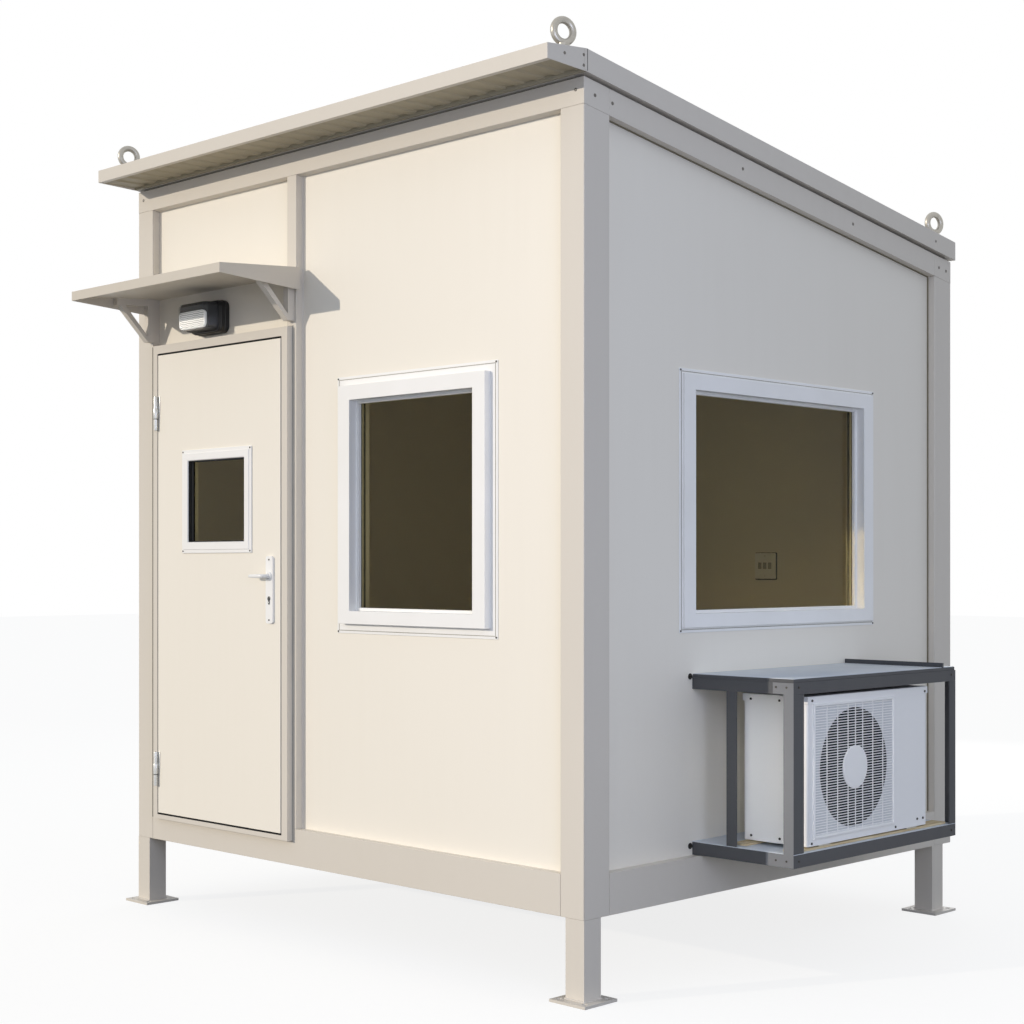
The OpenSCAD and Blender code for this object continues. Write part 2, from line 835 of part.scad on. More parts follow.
// Moving hinge half: bored knuckle and wing on the leaf
module hinge_knuckles() {
    color(zinc_c) on_site()
        for (z = [low_hinge_z, high_hinge_z])
            translate([hinge_x, 0, z + knuckle_h + knuckle_gap]) difference() {
                union() {
                    translate([0, hinge_y, 0]) cylinder(d = knuckle_d, h = knuckle_h);
                    block([0, frame_y - wing_t, 0], [wing_w, frame_y, knuckle_h]);
                }
                translate([0, hinge_y, -past]) cylinder(d = pin_d + 2 * pin_clear, h = knuckle_h + 2 * past);
            }
}

vision_open_x = leaf_x + vision_x + vision_face;
vision_open_z = leaf_z + vision_z + vision_face;
vision_open_w = vision_w - 2 * vision_face;
vision_open_h = vision_h - 2 * vision_face;

// Block through the door window's opening, grown all round
module vision_block(grow, y0, y1) {
    block([vision_open_x - grow, y0, vision_open_z - grow],
        [vision_open_x + vision_open_w + grow, y1, vision_open_z + vision_open_h + grow]);
}

// Bore across the door along the lever's axis
module lever_bore(d, y0, y1) {
    translate([handle_x, y1, lever_z]) rotate([90, 0, 0]) cylinder(d = d, h = y1 - y0);
}

// Leaf with an outer lip that closes on the frame and a core inside the opening
module door_leaf() {
    color(panel_c) on_site() difference() {
        union() {
            block([leaf_x, frame_y, leaf_z], [leaf_x1, lip_back, leaf_z1]);
            block([stop_x0 + core_gap, lip_back, stop_z0 + core_gap],
                [stop_x1 - core_gap, core_back, stop_z1 - core_gap]);
        }
        vision_block(vision_sleeve, frame_y - past, core_back + past);
        lever_bore(spindle_d + 2 * pin_clear, frame_y - past, core_back + past);
    }
}

module door_window_trim() {
    mid = (frame_y + core_back) / 2;
    color(white_c) on_site() difference() {
        union() {
            vision_block(vision_face, frame_y - vision_proud, frame_y);
            vision_block(vision_sleeve, frame_y, core_back);
            vision_block(vision_face, core_back, core_back + vision_proud);
        }
        vision_block(0, frame_y - vision_proud - past, core_back + vision_proud + past);
        vision_block(vision_sleeve / 2, mid - glass_t / 2, mid + glass_t / 2);
    }
}

module door_window_glass() {
    mid = (frame_y + core_back) / 2;
    color(glass_c) on_site() vision_block(vision_sleeve / 2 - glass_clear, mid - glass_t / 2, mid + glass_t / 2);
}

// Long handle plate with the lever's bore and a keyhole
module handle_plate(y0, y1) {
    key_z = lever_z - handle_plate_h / 3;
    difference() {
        translate([handle_x - handle_plate_w / 2, 0, lever_z + handle_plate_up - handle_plate_h])
            along_y(y0, y1) round_rect(handle_plate_w, handle_plate_h, handle_plate_w / 4);
        lever_bore(spindle_d + 2 * pin_clear, y0 - past, y1 + past);
        translate([handle_x, y1 + past, key_z]) rotate([90, 0, 0]) cylinder(d = spindle_d, h = y1 - y0 + 2 * past);
        block([handle_x - spindle_d / 4, y0 - past, key_z - 2 * spindle_d], [handle_x + spindle_d / 4, y1 + past, key_z]);
    }
}

module handle_plates() {
    color(white_c) on_site() {
        handle_plate(frame_y - handle_plate_t, frame_y);
        handle_plate(core_back, core_back + handle_plate_t);
    }
}

// Neck and grip on one side of the door, from the plate's face along side (-1 outside, 1 inside)
module lever_half(face, side) {
    start = face + side * pin_clear;
    grip = face + side * grip_off;
    translate([handle_x, min(start, grip), lever_z]) rotate([-90, 0, 0]) cylinder(d = neck_d, h = abs(grip - start));
    translate([handle_x, grip, lever_z]) sphere(d = neck_d);
    translate([handle_x, grip, lever_z]) rotate([0, -90, 0]) cylinder(d = grip_d, h = grip_len - grip_d / 2);
    translate([handle_x - grip_len + grip_d / 2, grip, lever_z]) sphere(d = grip_d);
}

module door_lever() {
    outer = frame_y - handle_plate_t;
    inner = core_back + handle_plate_t;
    color(zinc_c) on_site() {
        lever_half(outer, -1);
        lever_half(inner, 1);
        lever_bore(spindle_d, outer - neck_d / 2, inner + neck_d / 2);
    }
}

// Window frame on its face: X along the wall, Y inwards from the face, Z up from the sill
module window_frame(w, proud, flange) {
    depth = proud + panel_t;
    glass_back = glass_at + glass_t;
    difference() {
        union() {
            cube([w, depth, win_h]);
            translate([-flange, proud - flange_t, -flange])
                cube([w + 2 * flange, flange_t, win_h + 2 * flange]);
        }
        window_opening(w, 0, -past, bead_at);
        window_opening(w, bead_w, bead_at - past, glass_at + past);
        window_opening(w, 0, glass_at, glass_back);
        window_opening(w, bead_w, glass_back - past, glass_back + inner_stop_t + past);
        window_opening(w, 0, glass_back + inner_stop_t, depth + past);
    }
}

module window_opening(w, inset, y0, y1) {
    block([win_face + inset, y0, win_sill + inset], [w - win_face - inset, y1, win_h - win_head - inset]);
}

module front_place() {
    translate([front_win_x, panel_recess - front_win_proud, win_z]) children();
}

module side_place() {
    translate([wall_x + side_win_proud, side_win_y, win_z]) rotate([0, 0, 90]) children();
}

module front_window_frame() {
    color(white_c) on_site() front_place() window_frame(front_win_w, front_win_proud, front_flange);
}

module front_window_glass() {
    color(glass_c) on_site() front_place() window_opening(front_win_w, glass_clear, glass_at, glass_at + glass_t);
}

module side_window_frame() {
    color(white_c) on_site() side_place() window_frame(side_win_w, side_win_proud, side_flange);
}

module side_window_glass() {
    color(glass_c) on_site() side_place() window_opening(side_win_w, glass_clear, glass_at, glass_at + glass_t);
}

module cage_tray() {
    color(zinc_c) on_site()
        block([wall_x, cage_y, tray_z], [cage_x1, cage_y1, seat_z]);
}

// Ring of bars on the cage's plan
module cage_ring(z, h) {
    translate([wall_x, cage_y, z]) linear_extrude(h) difference() {
        square([cage_reach, cage_l]);
        translate([cage_bar, cage_bar]) square([cage_reach - 2 * cage_bar, cage_l - 2 * cage_bar]);
    }
}

module cage_lower_frame() {
    color(dark_c) on_site() cage_ring(cage_z, cage_low_h);
}

module cage_upper_frame() {
    color(dark_c) on_site() cage_ring(cage_top - cage_up_h, cage_up_h);
}

// Angle section with its corner at the origin and its legs along +X and +Y
module angle_2d() {
    square([cage_bar, cage_wall]);
    square([cage_wall, cage_bar]);
}

module cage_uprights() {
    back_x = wall_x + cage_back_off;
    color(dark_c) on_site() translate([0, 0, seat_z]) linear_extrude(cage_top - cage_up_h - seat_z) {
        translate([cage_x1, cage_y]) rotate(90) angle_2d();
        translate([cage_x1, cage_y1]) rotate(180) angle_2d();
        translate([back_x, cage_y]) angle_2d();
        translate([back_x, cage_y1]) rotate(-90) angle_2d();
    }
}

module cage_cover() {
    rail_y = cage_y1 - cover_in - cover_rail_in - cover_rail_w;
    color(cover_c) on_site() {
        block([wall_x, cage_y + cover_in, cage_top], [cage_x1 - cover_in, cage_y1 - cover_in, cage_top + cover_t]);
        block([wall_x, rail_y, cage_top + cover_t - past],
            [cage_x1 - cover_in, rail_y + cover_rail_w, cage_top + cover_t + cover_rail_h]);
    }
}

module timber_bearers() {
    color(timber_c) on_site()
        for (x = [unit_x0, unit_x1 - bearer_w])
            block([x, cage_y + cage_bar, seat_z], [x + bearer_w, cage_y1 - cage_bar, seat_z + bearer_h]);
}

module condenser_feet() {
    color(zinc_c) on_site()
        for (x = [unit_x0, unit_x1 - bearer_w])
            for (y = [unit_y + foot_l, unit_y + unit_w - 2 * foot_l])
                translate([x, y, seat_z + bearer_h]) cube([bearer_w, foot_l, foot_h]);
}

module condenser_housing() {
    color(white_c) on_site() difference() {
        translate([unit_x0, unit_y, unit_z]) linear_extrude(unit_h) round_rect(unit_d, unit_w, unit_r);
        translate([unit_x1 - fan_depth, fan_cy, fan_cz]) rotate([0, 90, 0]) cylinder(d = fan_d, h = fan_depth + past);
    }
}

// Slatted guard over the fan, seen from its front: slots cut inside the fan's circle
module guard_2d() {
    rows = floor(fan_d / slat_pitch);
    col = fan_d / slot_cols;
    difference() {
        translate([guard_y - fan_y, (unit_h - guard_h) / 2 - fan_z]) square([guard_w, guard_h]);
        intersection() {
            difference() {
                circle(d = fan_d);
                circle(d = hub_d);
            }
            for (i = [0 : rows - 1])
                for (j = [0 : slot_cols - 1])
                    translate([-fan_d / 2 + j * col + guard_bar / 2, (i - rows / 2) * slat_pitch])
                        square([col - guard_bar, slot_h]);
        }
    }
}

module condenser_guard() {
    color(white_c) on_site() translate([unit_x1, fan_cy, fan_cz]) rotate([90, 0, 90])
        linear_extrude(guard_t) guard_2d();
}

module switch_plate() {
    color(white_c) on_site()
        translate([switch_x - switch_w / 2, 0, switch_z - switch_h / 2])
            along_y(room_y1 - switch_t, room_y1) round_rect(switch_w, switch_h, switch_t / 2);
}

legs();
base_beams();
floor_joists();
floor_deck();
corner_posts();
door_post();
front_wall();
over_door_panel();
left_wall();
right_wall();
back_wall();
front_top_rail();
back_top_rail();
side_top_rails();
roof_seal();
roof_panel();
eave_trim();
eave_soffit();
verge_trims();
back_fascia();
lifting_eyes();
canopy();
canopy_brackets();
lamp_base();
lamp_lens();
door_frame();
hinge_pins();
front_window_frame();
front_window_glass();
side_window_frame();
side_window_glass();
cage_tray();
cage_lower_frame();
cage_uprights();
cage_upper_frame();
cage_cover();
timber_bearers();
condenser_feet();
condenser_housing();
condenser_guard();
switch_plate();
door_leaf();
hinge_knuckles();
door_window_trim();
door_window_glass();
handle_plates();
door_lever();
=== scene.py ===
"""Security guard booth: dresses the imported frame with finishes, fixings, seals and fittings.

Sizes are in millimetres from the cabin's front left corner on the ground, as the part's source
gives them, and at() takes them to the frame, which is in metres from the middle of the four legs.
"""
import json
import logging
import math
from dataclasses import dataclass, field
from enum import Enum
from typing import Any, Optional, Sequence

import bmesh
import bpy
from mathutils import Matrix, Vector
from mathutils.bvhtree import BVHTree

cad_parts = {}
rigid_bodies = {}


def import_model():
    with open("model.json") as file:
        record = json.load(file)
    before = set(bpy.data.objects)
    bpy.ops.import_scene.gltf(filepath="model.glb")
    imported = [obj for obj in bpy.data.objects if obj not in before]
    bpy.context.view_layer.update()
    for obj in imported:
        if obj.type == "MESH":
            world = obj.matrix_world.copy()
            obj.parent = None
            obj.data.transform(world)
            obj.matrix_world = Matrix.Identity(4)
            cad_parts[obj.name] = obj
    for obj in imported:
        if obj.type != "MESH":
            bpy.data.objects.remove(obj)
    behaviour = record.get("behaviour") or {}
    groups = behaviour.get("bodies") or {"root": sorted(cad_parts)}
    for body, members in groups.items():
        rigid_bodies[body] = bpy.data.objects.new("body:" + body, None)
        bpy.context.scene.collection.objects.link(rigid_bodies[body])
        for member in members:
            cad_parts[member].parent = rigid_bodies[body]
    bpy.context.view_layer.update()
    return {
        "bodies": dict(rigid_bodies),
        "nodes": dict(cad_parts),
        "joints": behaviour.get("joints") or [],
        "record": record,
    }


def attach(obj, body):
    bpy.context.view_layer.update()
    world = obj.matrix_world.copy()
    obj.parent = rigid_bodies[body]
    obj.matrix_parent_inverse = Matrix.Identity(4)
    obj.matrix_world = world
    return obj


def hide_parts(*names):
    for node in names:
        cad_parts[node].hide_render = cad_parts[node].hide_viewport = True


LOG = logging.getLogger("booth")

Point = tuple[float, float, float]
Pair = tuple[float, float]
Rect = tuple[float, float, float, float]
Section = Sequence[Pair]
Nodes = dict[str, Any]
Tree = bpy.types.NodeTree
Socket = bpy.types.NodeSocket

MM = 0.001
ORIGIN_X = 1325.0
ORIGIN_Y = 1142.5
WIDTH = 2650.0
DEPTH = 2350.0
# Height that the roof loses to the back, as a share of the depth
FALL = 0.1441
# How far outside the booth a line starts that looks for a surface
OUTSIDE = 500.0
SKY = 4000.0
LEFT, RIGHT = (-1.0, 0.0, 0.0), (1.0, 0.0, 0.0)
FORWARD, BACK = (0.0, -1.0, 0.0), (0.0, 1.0, 0.0)
DOWN, UP = (0.0, 0.0, -1.0), (0.0, 0.0, 1.0)
FROM_ENDS = ((-OUTSIDE, RIGHT), (WIDTH + OUTSIDE, LEFT))
# Depth by which a visual piece sinks into what carries it
SINK = 0.5
# Angle in degrees over which an edge stays sharp
CREASE = 32.0
MERGE = 1e-6
FLAT_ANGLE = 0.5
BEVEL_ANGLE = 40.0


class Body(str, Enum):
    """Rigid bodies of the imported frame."""

    BOOTH = "booth"
    DOOR = "door"
    LEVER = "lever"


class Slot(str, Enum):
    """Material slots of the record."""

    FRAME = "frame_paint"
    PANEL = "panel_paint"
    FLOOR = "floor_sheet"
    SEAL = "seal"
    ZINC = "zinc"
    LAMP_BODY = "lamp_body"
    LAMP_CLEAR = "lamp_clear"
    WHITE = "white_frame"
    GLASS = "tinted_glass"
    CAGE = "cage_paint"
    COVER = "cover_paint"
    TIMBER = "timber"
    UNIT = "unit_paint"


def at(x: float, y: float, z: float) -> Vector:
    """Takes a point of the cabin to the frame.

    Args:
        x: Millimetres to the right of the cabin's left side.
        y: Millimetres behind the front posts' faces.
        z: Millimetres above the ground.

    Returns:
        The point in metres in the frame.
    """
    return Vector(((x - ORIGIN_X) * MM, (y - ORIGIN_Y) * MM, z * MM))


def falling(z: float, y: float) -> float:
    """Gives the height at depth y of a line that falls to the back from z."""
    return z - FALL * y


def corners(rect: Rect) -> Section:
    """Gives a rectangle's four corners in turn."""
    a0, b0, a1, b1 = rect
    return ((a0, b0), (a1, b0), (a1, b1), (a0, b1))


def circle(steps: int, shift: float = 0.0) -> list[Pair]:
    """Gives the cosine and sine of even steps round a circle, moved by a share of a step."""
    turns = [2 * math.pi * (i + shift) / steps for i in range(steps)]
    return [(math.cos(t), math.sin(t)) for t in turns]


def linear(hex_colour: str) -> tuple[float, float, float, float]:
    """Turns an sRGB colour of six hex digits to linear RGBA with an alpha of one."""
    parts = [int(hex_colour[i : i + 2], 16) / 255 for i in (0, 2, 4)]
    flat = [c / 12.92 if c <= 0.04045 else ((c + 0.055) / 1.055) ** 2.4 for c in parts]
    return (flat[0], flat[1], flat[2], 1.0)


def feed(tree: Tree, node: Any, inputs: dict[Any, Any]) -> None:
    """Gives a node's sockets their values, or links the output sockets that feed them."""
    for key, value in inputs.items():
        if isinstance(value, Socket):
            tree.links.new(value, node.inputs[key])
        else:
            node.inputs[key].default_value = value


def add_node(
    tree: Tree, kind: str, inputs: Optional[dict[Any, Any]] = None, **settings: Any
) -> Any:
    """Adds a node with its settings, values and links.

    Args:
        tree: Node tree that takes the node.
        kind: Blender's identifier of the node.
        inputs: Socket name or index to a value, or to the output socket that feeds it.
        settings: Attributes of the node.

    Returns:
        The new node.
    """
    node = tree.nodes.new(kind)
    for name, value in settings.items():
        setattr(node, name, value)
    feed(tree, node, inputs or {})
    return node


class Brush:
    """Shader nodes of one material, each linked to where it shows."""

    def __init__(self, tree: Tree) -> None:
        """Starts with a principled shader and the object's coordinates in metres."""
        tree.nodes.clear()
        self.tree = tree
        self.place = self.add("TexCoord").outputs["Object"]
        self.shader = self.add("BsdfPrincipled")

    def add(self, kind: str, inputs: Optional[dict[Any, Any]] = None, **settings: Any) -> Any:
        """Adds a shader node by the end of its identifier."""
        return add_node(self.tree, f"ShaderNode{kind}", inputs, **settings)

    def set(self, inputs: dict[str, Any]) -> None:
        """Sets inputs of the shader."""
        feed(self.tree, self.shader, inputs)

    def noise(
        self, size: float, detail: float, stretch: Optional[Point] = None, swirl: float = 0.0
    ) -> Socket:
        """Adds soft patches.

        Args:
            size: Size of a patch in millimetres.
            detail: Number of finer layers.
            stretch: Scale of each axis, where patches are drawn out.
            swirl: Distortion of the patches.

        Returns:
            Their value, from zero to one.
        """
        place = self.place
        if stretch:
            place = self.add("Mapping", {"Vector": place, "Scale": stretch}).outputs["Vector"]
        inputs = {"Scale": 1 / (size * MM), "Detail": detail, "Distortion": swirl}
        return self.add("TexNoise", {"Vector": place, **inputs}).outputs["Fac"]

    def join(self, one: Socket, two: Socket, operation: str = "MULTIPLY") -> Socket:
        """Joins two values, held between zero and one."""
        return self.add("Math", {0: one, 1: two}, operation=operation, use_clamp=True).outputs[0]

    def span(self, value: Socket, taken: Pair = (0.0, 1.0), given: Pair = (0.0, 1.0)) -> Socket:
        """Maps a value from the span that is taken to the span that is given."""
        ends = ("From Min", "From Max", "To Min", "To Max")
        inputs = {"Value": value, **dict(zip(ends, (*taken, *given)))}
        return self.add("MapRange", inputs).outputs["Result"]

    def tint(self, share: Socket, one: str, two: str) -> None:
        """Blends two hex colours by a share."""
        inputs = {"Factor": share, 6: linear(one), 7: linear(two)}
        self.set({"Base Color": self.add("Mix", inputs, data_type="RGBA").outputs[2]})

    def gloss(self, value: Socket, middle: float, less: float, more: float) -> None:
        """Lets the roughness follow a value round its middle."""
        self.set({"Roughness": self.span(value, given=(middle - less, middle + more))})

    def relief(self, height: Socket, strength: float, deep: float) -> None:
        """Bumps the surface by a value, so many millimetres deep."""
        inputs = {"Height": height, "Strength": strength, "Distance": deep * MM}
        self.set({"Normal": self.add("Bump", inputs).outputs["Normal"]})


@dataclass(frozen=True)
class Finish:
    """A material with the name of what the real surface is, and its slot of the record."""

    name: str
    slot: Slot

    def material(self) -> bpy.types.Material:
        """Builds the material once and gives it back."""
        made = bpy.data.materials.get(self.name)
        if not made:
            made = bpy.data.materials.new(self.name)
            made.use_nodes = True
            brush = Brush(made.node_tree)
            self.paint(brush)
            brush.add("OutputMaterial", {"Surface": self.surface(brush)})
        return made

    def paint(self, brush: Brush) -> None:
        """Sets the shader's colour, gloss and relief."""
        raise NotImplementedError

    def surface(self, brush: Brush) -> Socket:
        """Gives the socket that the output shows, the plain shader unless a finish adds to it."""
        return brush.shader.outputs["BSDF"]


@dataclass(frozen=True)
class PaintedSteel(Finish):
    """Factory-coated sheet: an even satin film with faint orange peel, dust and rain marks."""

    colour: str
    dusty: str
    roughness: float = 0.42
    # Orange peel is about 2 mm apart on the real sheet and is drawn coarser so that it shows
    peel_mm: float = 9.0
    cloud_mm: float = 620.0
    streak_mm: float = 45.0
    # Rain marks are drawn out along Z
    streak_way: Point = (1.0, 1.0, 0.06)
    dust_top: float = 0.55
    dust_share: float = 0.0
    marks: float = 0.035
    gloss: float = 0.4
    ior: float = 1.5

    def paint(self, brush: Brush) -> None:
        """Lays the paint film, then dust that gathers low down and thin rain marks."""
        cloud = brush.noise(self.cloud_mm, 4.0)
        rain = brush.noise(self.streak_mm, 3.0, self.streak_way)
        marks = brush.span(brush.join(cloud, rain), (0.2, 0.42), (0.0, self.marks))
        height = brush.add("SeparateXYZ", {"Vector": brush.place}).outputs["Z"]
        low = brush.span(height, (0.0, self.dust_top), (self.dust_share, 0.0))
        share = brush.join(brush.join(low, cloud), marks, "ADD")
        brush.tint(share, self.colour, self.dusty)
        brush.gloss(rain, self.roughness, 0.07, 0.12)
        brush.relief(brush.noise(self.peel_mm, 2.0), 0.12, 0.6)
        brush.set({"Specular IOR Level": self.gloss, "IOR": self.ior})


@dataclass(frozen=True)
class Galvanised(Finish):
    """Hot-dipped zinc: a grey metal with soft crystal patches and a dull bloom."""

    colour: str
    dull: str
    roughness: float = 0.42
    spangle_mm: float = 14.0
    bloom_mm: float = 60.0
    metallic: float = 0.85

    def paint(self, brush: Brush) -> None:
        """Lays the crystal patches and a cloud of white bloom over them."""
        grain = {"Vector": brush.place, "Scale": 1 / (self.spangle_mm * MM)}
        cells = brush.add("TexVoronoi", grain).outputs["Color"]
        grey = brush.add("SeparateColor", {"Color": cells}).outputs["Red"]
        bloom = brush.noise(self.bloom_mm, 5.0)
        blend = brush.join(grey, bloom)
        brush.tint(blend, self.colour, self.dull)
        brush.gloss(blend, self.roughness, 0.08, 0.16)
        brush.relief(bloom, 0.15, 0.8)
        brush.set({"Metallic": self.metallic})


@dataclass(frozen=True)
class MouldedPlastic(Finish):
    """Extruded or moulded plastic: an even colour with a slight sheen and fine mould texture."""

    colour: str
    aged: str
    roughness: float = 0.3
    cloud_mm: float = 220.0
    grain_mm: float = 5.0
    ior: float = 1.53

    def paint(self, brush: Brush) -> None:
        """Lays the colour with a faint cloud of ageing and a fine grain."""
        cloud = brush.noise(self.cloud_mm, 3.0)
        brush.tint(brush.span(cloud, (0.35, 0.75)), self.colour, self.aged)
        brush.gloss(cloud, self.roughness, 0.06, 0.1)
        brush.relief(brush.noise(self.grain_mm, 2.0), 0.08, 0.4)
        brush.set({"IOR": self.ior})


@dataclass(frozen=True)
class TintedGlass(Finish):
    """Bronze-tinted float glass: smooth, dark in depth, with a clear reflection."""

    colour: str
    roughness: float = 0.01
    # Kept low so that the pane shows the dark room more than the pale studio
    ior: float = 1.16
    clear: float = 1.0
    wave_mm: float = 500.0

    def paint(self, brush: Brush) -> None:
        """Sets the tint of the clear body, then its relief."""
        brush.set({"Base Color": linear(self.colour), "Transmission Weight": self.clear})
        brush.set({"Roughness": self.roughness, "IOR": self.ior})
        self.press(brush)

    def press(self, brush: Brush) -> None:
        """Gives the pane a faint waviness."""
        brush.relief(brush.noise(self.wave_mm, 1.0), 0.03, 4.0)

    def surface(self, brush: Brush) -> Socket:
        """Lets rays from the lamps pass the pane with its tint."""
        shadow = brush.add("LightPath").outputs["Is Shadow Ray"]
        clear = brush.add("BsdfTransparent", {"Color": linear(self.colour)}).outputs["BSDF"]
        mixed = brush.add("MixShader", {0: shadow, 1: brush.shader.outputs["BSDF"], 2: clear})
        return mixed.outputs["Shader"]


@dataclass(frozen=True)
class ClearPlastic(TintedGlass):
    """Pressed polycarbonate: clear, slightly frosted by its ribs."""

    def press(self, brush: Brush) -> None:
        """Presses fine ribs across the height."""
        grain = {"Vector": brush.place, "Scale": 1 / (self.wave_mm * MM)}
        ribs = brush.add("TexWave", grain, bands_direction="Z")
        brush.relief(ribs.outputs["Fac"], 0.15, 1.0)


@dataclass(frozen=True)
class Rubber(Finish):
    """Weather rubber or foam: matt, slightly dusty."""

    colour: str
    dusty: str
    roughness: float = 0.62
    dust_mm: float = 30.0

    def paint(self, brush: Brush) -> None:
        """Lays the dark colour with a dusty bloom."""
        dust = brush.noise(self.dust_mm, 4.0)
        brush.tint(dust, self.colour, self.dusty)
        brush.gloss(dust, self.roughness, 0.1, 0.15)


@dataclass(frozen=True)
class SawnTimber(Finish):
    """Sawn softwood: straw-coloured, with long darker growth lines along its length."""

    pale: str
    dark: str
    ring_mm: float = 9.0
    # Growth lines run along Y, which is the bearers' length
    ring_way: Point = (1.0, 0.05, 1.0)
    roughness: float = 0.75

    def paint(self, brush: Brush) -> None:
        """Draws the growth lines, which also stand out a little."""
        rings = brush.noise(self.ring_mm, 6.0, self.ring_way, swirl=0.6)
        brush.tint(brush.span(rings, (0.35, 0.68)), self.pale, self.dark)
        brush.set({"Roughness": self.roughness})
        brush.relief(rings, 0.4, 1.2)


@dataclass(frozen=True)
class FloorVinyl(Finish):
    """Sheet vinyl on ply: grey-brown with a fine fleck."""

    colour: str
    fleck: str
    fleck_mm: float = 7.0
    roughness: float = 0.5

    def paint(self, brush: Brush) -> None:
        """Scatters flecks over the sheet."""
        flecks = brush.span(brush.noise(self.fleck_mm, 2.0), (0.52, 0.62))
        brush.tint(flecks, self.colour, self.fleck)
        brush.set({"Roughness": self.roughness})


# Cream skin that looks almost white in the sun and grey-blue in the shade
PANEL_SKIN = PaintedSteel(
    "Cream coated panel steel", Slot.PANEL, "F1EBDE", "D9D0BE", dust_top=0.75, dust_share=0.05
)
# A shade darker and warmer than the panels
FRAME_PAINT = PaintedSteel(
    "Stone grey painted steel",
    Slot.FRAME,
    "D9D2C6",
    "BDB5A7",
    streak_mm=60.0,
    dust_share=0.1,
    gloss=0.3,
)
# Olive grey sheet, darker than the frame's paint, that paints the shade under the eave
SHADED_SOFFIT_SHEET = PaintedSteel(
    "Olive grey soffit sheet", Slot.FRAME, "B0A790", "99907B", 0.5, dust_share=0.1, gloss=0.25
)
# The frame's paint a shade greyer, darkened to paint the shade under the canopy and on its side
SHADED_CANOPY_PAINT = PaintedSteel(
    "Shade-darkened canopy paint", Slot.FRAME, "D2CABC", "BDB4A3", 0.45, dust_share=0.1, gloss=0.3
)
# Dark grey that looks near black in the booth's shade and silver where the sun meets it
CAGE_PAINT = PaintedSteel(
    "Dark grey painted angle", Slot.CAGE, "4F5052", "5A5958", 0.5, gloss=0.25
)
COVER_PAINT = PaintedSteel("Blue grey coated cover", Slot.COVER, "CDD4DB", "D3D6D6", 0.38)
UNIT_PAINT = PaintedSteel("White powder coat", Slot.UNIT, "F6F5F2", "E8E6E0")
# White paint greyed to paint the shade between the guard's slats
GUARD_SHADE = PaintedSteel("Shaded guard sheet", Slot.UNIT, "D4D5D6", "CACBCC", 0.5, gloss=0.2)
UNIT_DARK = PaintedSteel("Black fan cowl", Slot.UNIT, "1B1C1E", "2C2C2C", 0.6)
# Mid grey plates, lighter than the cage's paint, that paint the sun's highlight on the cage's front
# corner
CORNER_HIGHLIGHT_GREY = PaintedSteel("Corner highlight grey", Slot.ZINC, "737578", "6B6D6F", 0.5, gloss=0.3)
# Dull grey rings with a pale bloom
ZINC = Galvanised("Hot-dip zinc", Slot.ZINC, "B4B0A7", "A29E96", 0.36, metallic=0.75)
BRIGHT_ZINC = Galvanised(
    "Bright zinc plate", Slot.ZINC, "D8D8D5", "BBBBB7", 0.3, spangle_mm=30.0, metallic=0.6
)
# Rivet heads under a thin coat of the frame's paint
RIVET = Galvanised("Painted rivet steel", Slot.ZINC, "706D67", "56534E", 0.4, metallic=0.5)
DARK_SCREW = Galvanised("Browned screw steel", Slot.ZINC, "4C4A46", "33312F", 0.45)
WHITE_FRAME = MouldedPlastic("White window profile", Slot.WHITE, "F6F5F2", "F1F0EC")
# Grey lines of sealant round frames, darkened to also paint the thin shadows along the frames'
# edges; the switch's rockers take the same grey
SEALANT_AND_SHADE = MouldedPlastic("Grey sealant and painted shade", Slot.SEAL, "A8A49A", "99958C", 0.55)
BLACK_BODY = MouldedPlastic("Black moulded nylon", Slot.LAMP_BODY, "141517", "1C1D1F", 0.36)
# Grey glazing bars seen through the panes, which also paint the shade in the reveals near the glass
GLAZING_BAR_AND_SHADE = MouldedPlastic("Grey glazing bar", Slot.WHITE, "6A6E74", "60646A", 0.45)
LEVER_ENAMEL = MouldedPlastic("White lever enamel", Slot.WHITE, "EFEFED", "E6E6E3", 0.25)
# Dark olive to brown in depth, with only a faint reflection
BRONZE_GLASS = TintedGlass("Bronze float glass", Slot.GLASS, "C8C2AA")
LENS_CLEAR = ClearPlastic(
    "Ribbed clear lens", Slot.LAMP_CLEAR, "F2F4F5", 0.05, 1.22, clear=0.96, wave_mm=38.0
)
# Black rubber of the seals and gaskets; the same black paints the shade under the hinge collars and
# in the door frame's reveal
GASKET_AND_SHADE = Rubber("Black weather rubber and painted shade", Slot.SEAL, "0C0C0C", "1A1A19")
# Brown-grey line between the panels and the rails: a seal that also paints the shade under the
# rails and beside the posts
SEAL_AND_SHADE_STRIP = Rubber("Brown panel seal and painted shade", Slot.SEAL, "6E6652", "7F7761")
# Dark line between the rails and the roof, a joint foam; the same dark paints the shade beside the
# door frame and the shadow of the switch plate
JOINT_FOAM_AND_SHADE = Rubber("Dark joint foam and painted shade", Slot.SEAL, "36332A", "464236")
BEARER_WOOD = SawnTimber("Sawn softwood", Slot.TIMBER, "D8C8A4", "BDA67C")
FLOOR_SHEET = FloorVinyl("Flecked floor vinyl", Slot.FLOOR, "9A9186", "6F675D")


@dataclass(frozen=True)
class Side:
    """A flat side to work on: a start point with directions along, up and out."""

    start: Point
    along: Point
    up: Point
    out: Point

    def at(self, a: float, b: float, h: float = 0.0) -> Vector:
        """Gives the frame's point at a along, b up and h out, in millimetres."""
        ways = zip(self.start, self.along, self.up, self.out)
        return at(*[s + a * u + b * v + h * n for s, u, v, n in ways])

    @property
    def aim(self) -> Vector:
        """Direction out of the side."""
        return Vector(self.out)


def front_side(y: float) -> Side:
    """Gives the side that faces the front at depth y: X along, Z up."""
    return Side((0.0, y, 0.0), RIGHT, UP, FORWARD)


def back_side(y: float) -> Side:
    """Gives the side that faces the back at depth y: X along, Z up."""
    return Side((0.0, y, 0.0), RIGHT, UP, BACK)


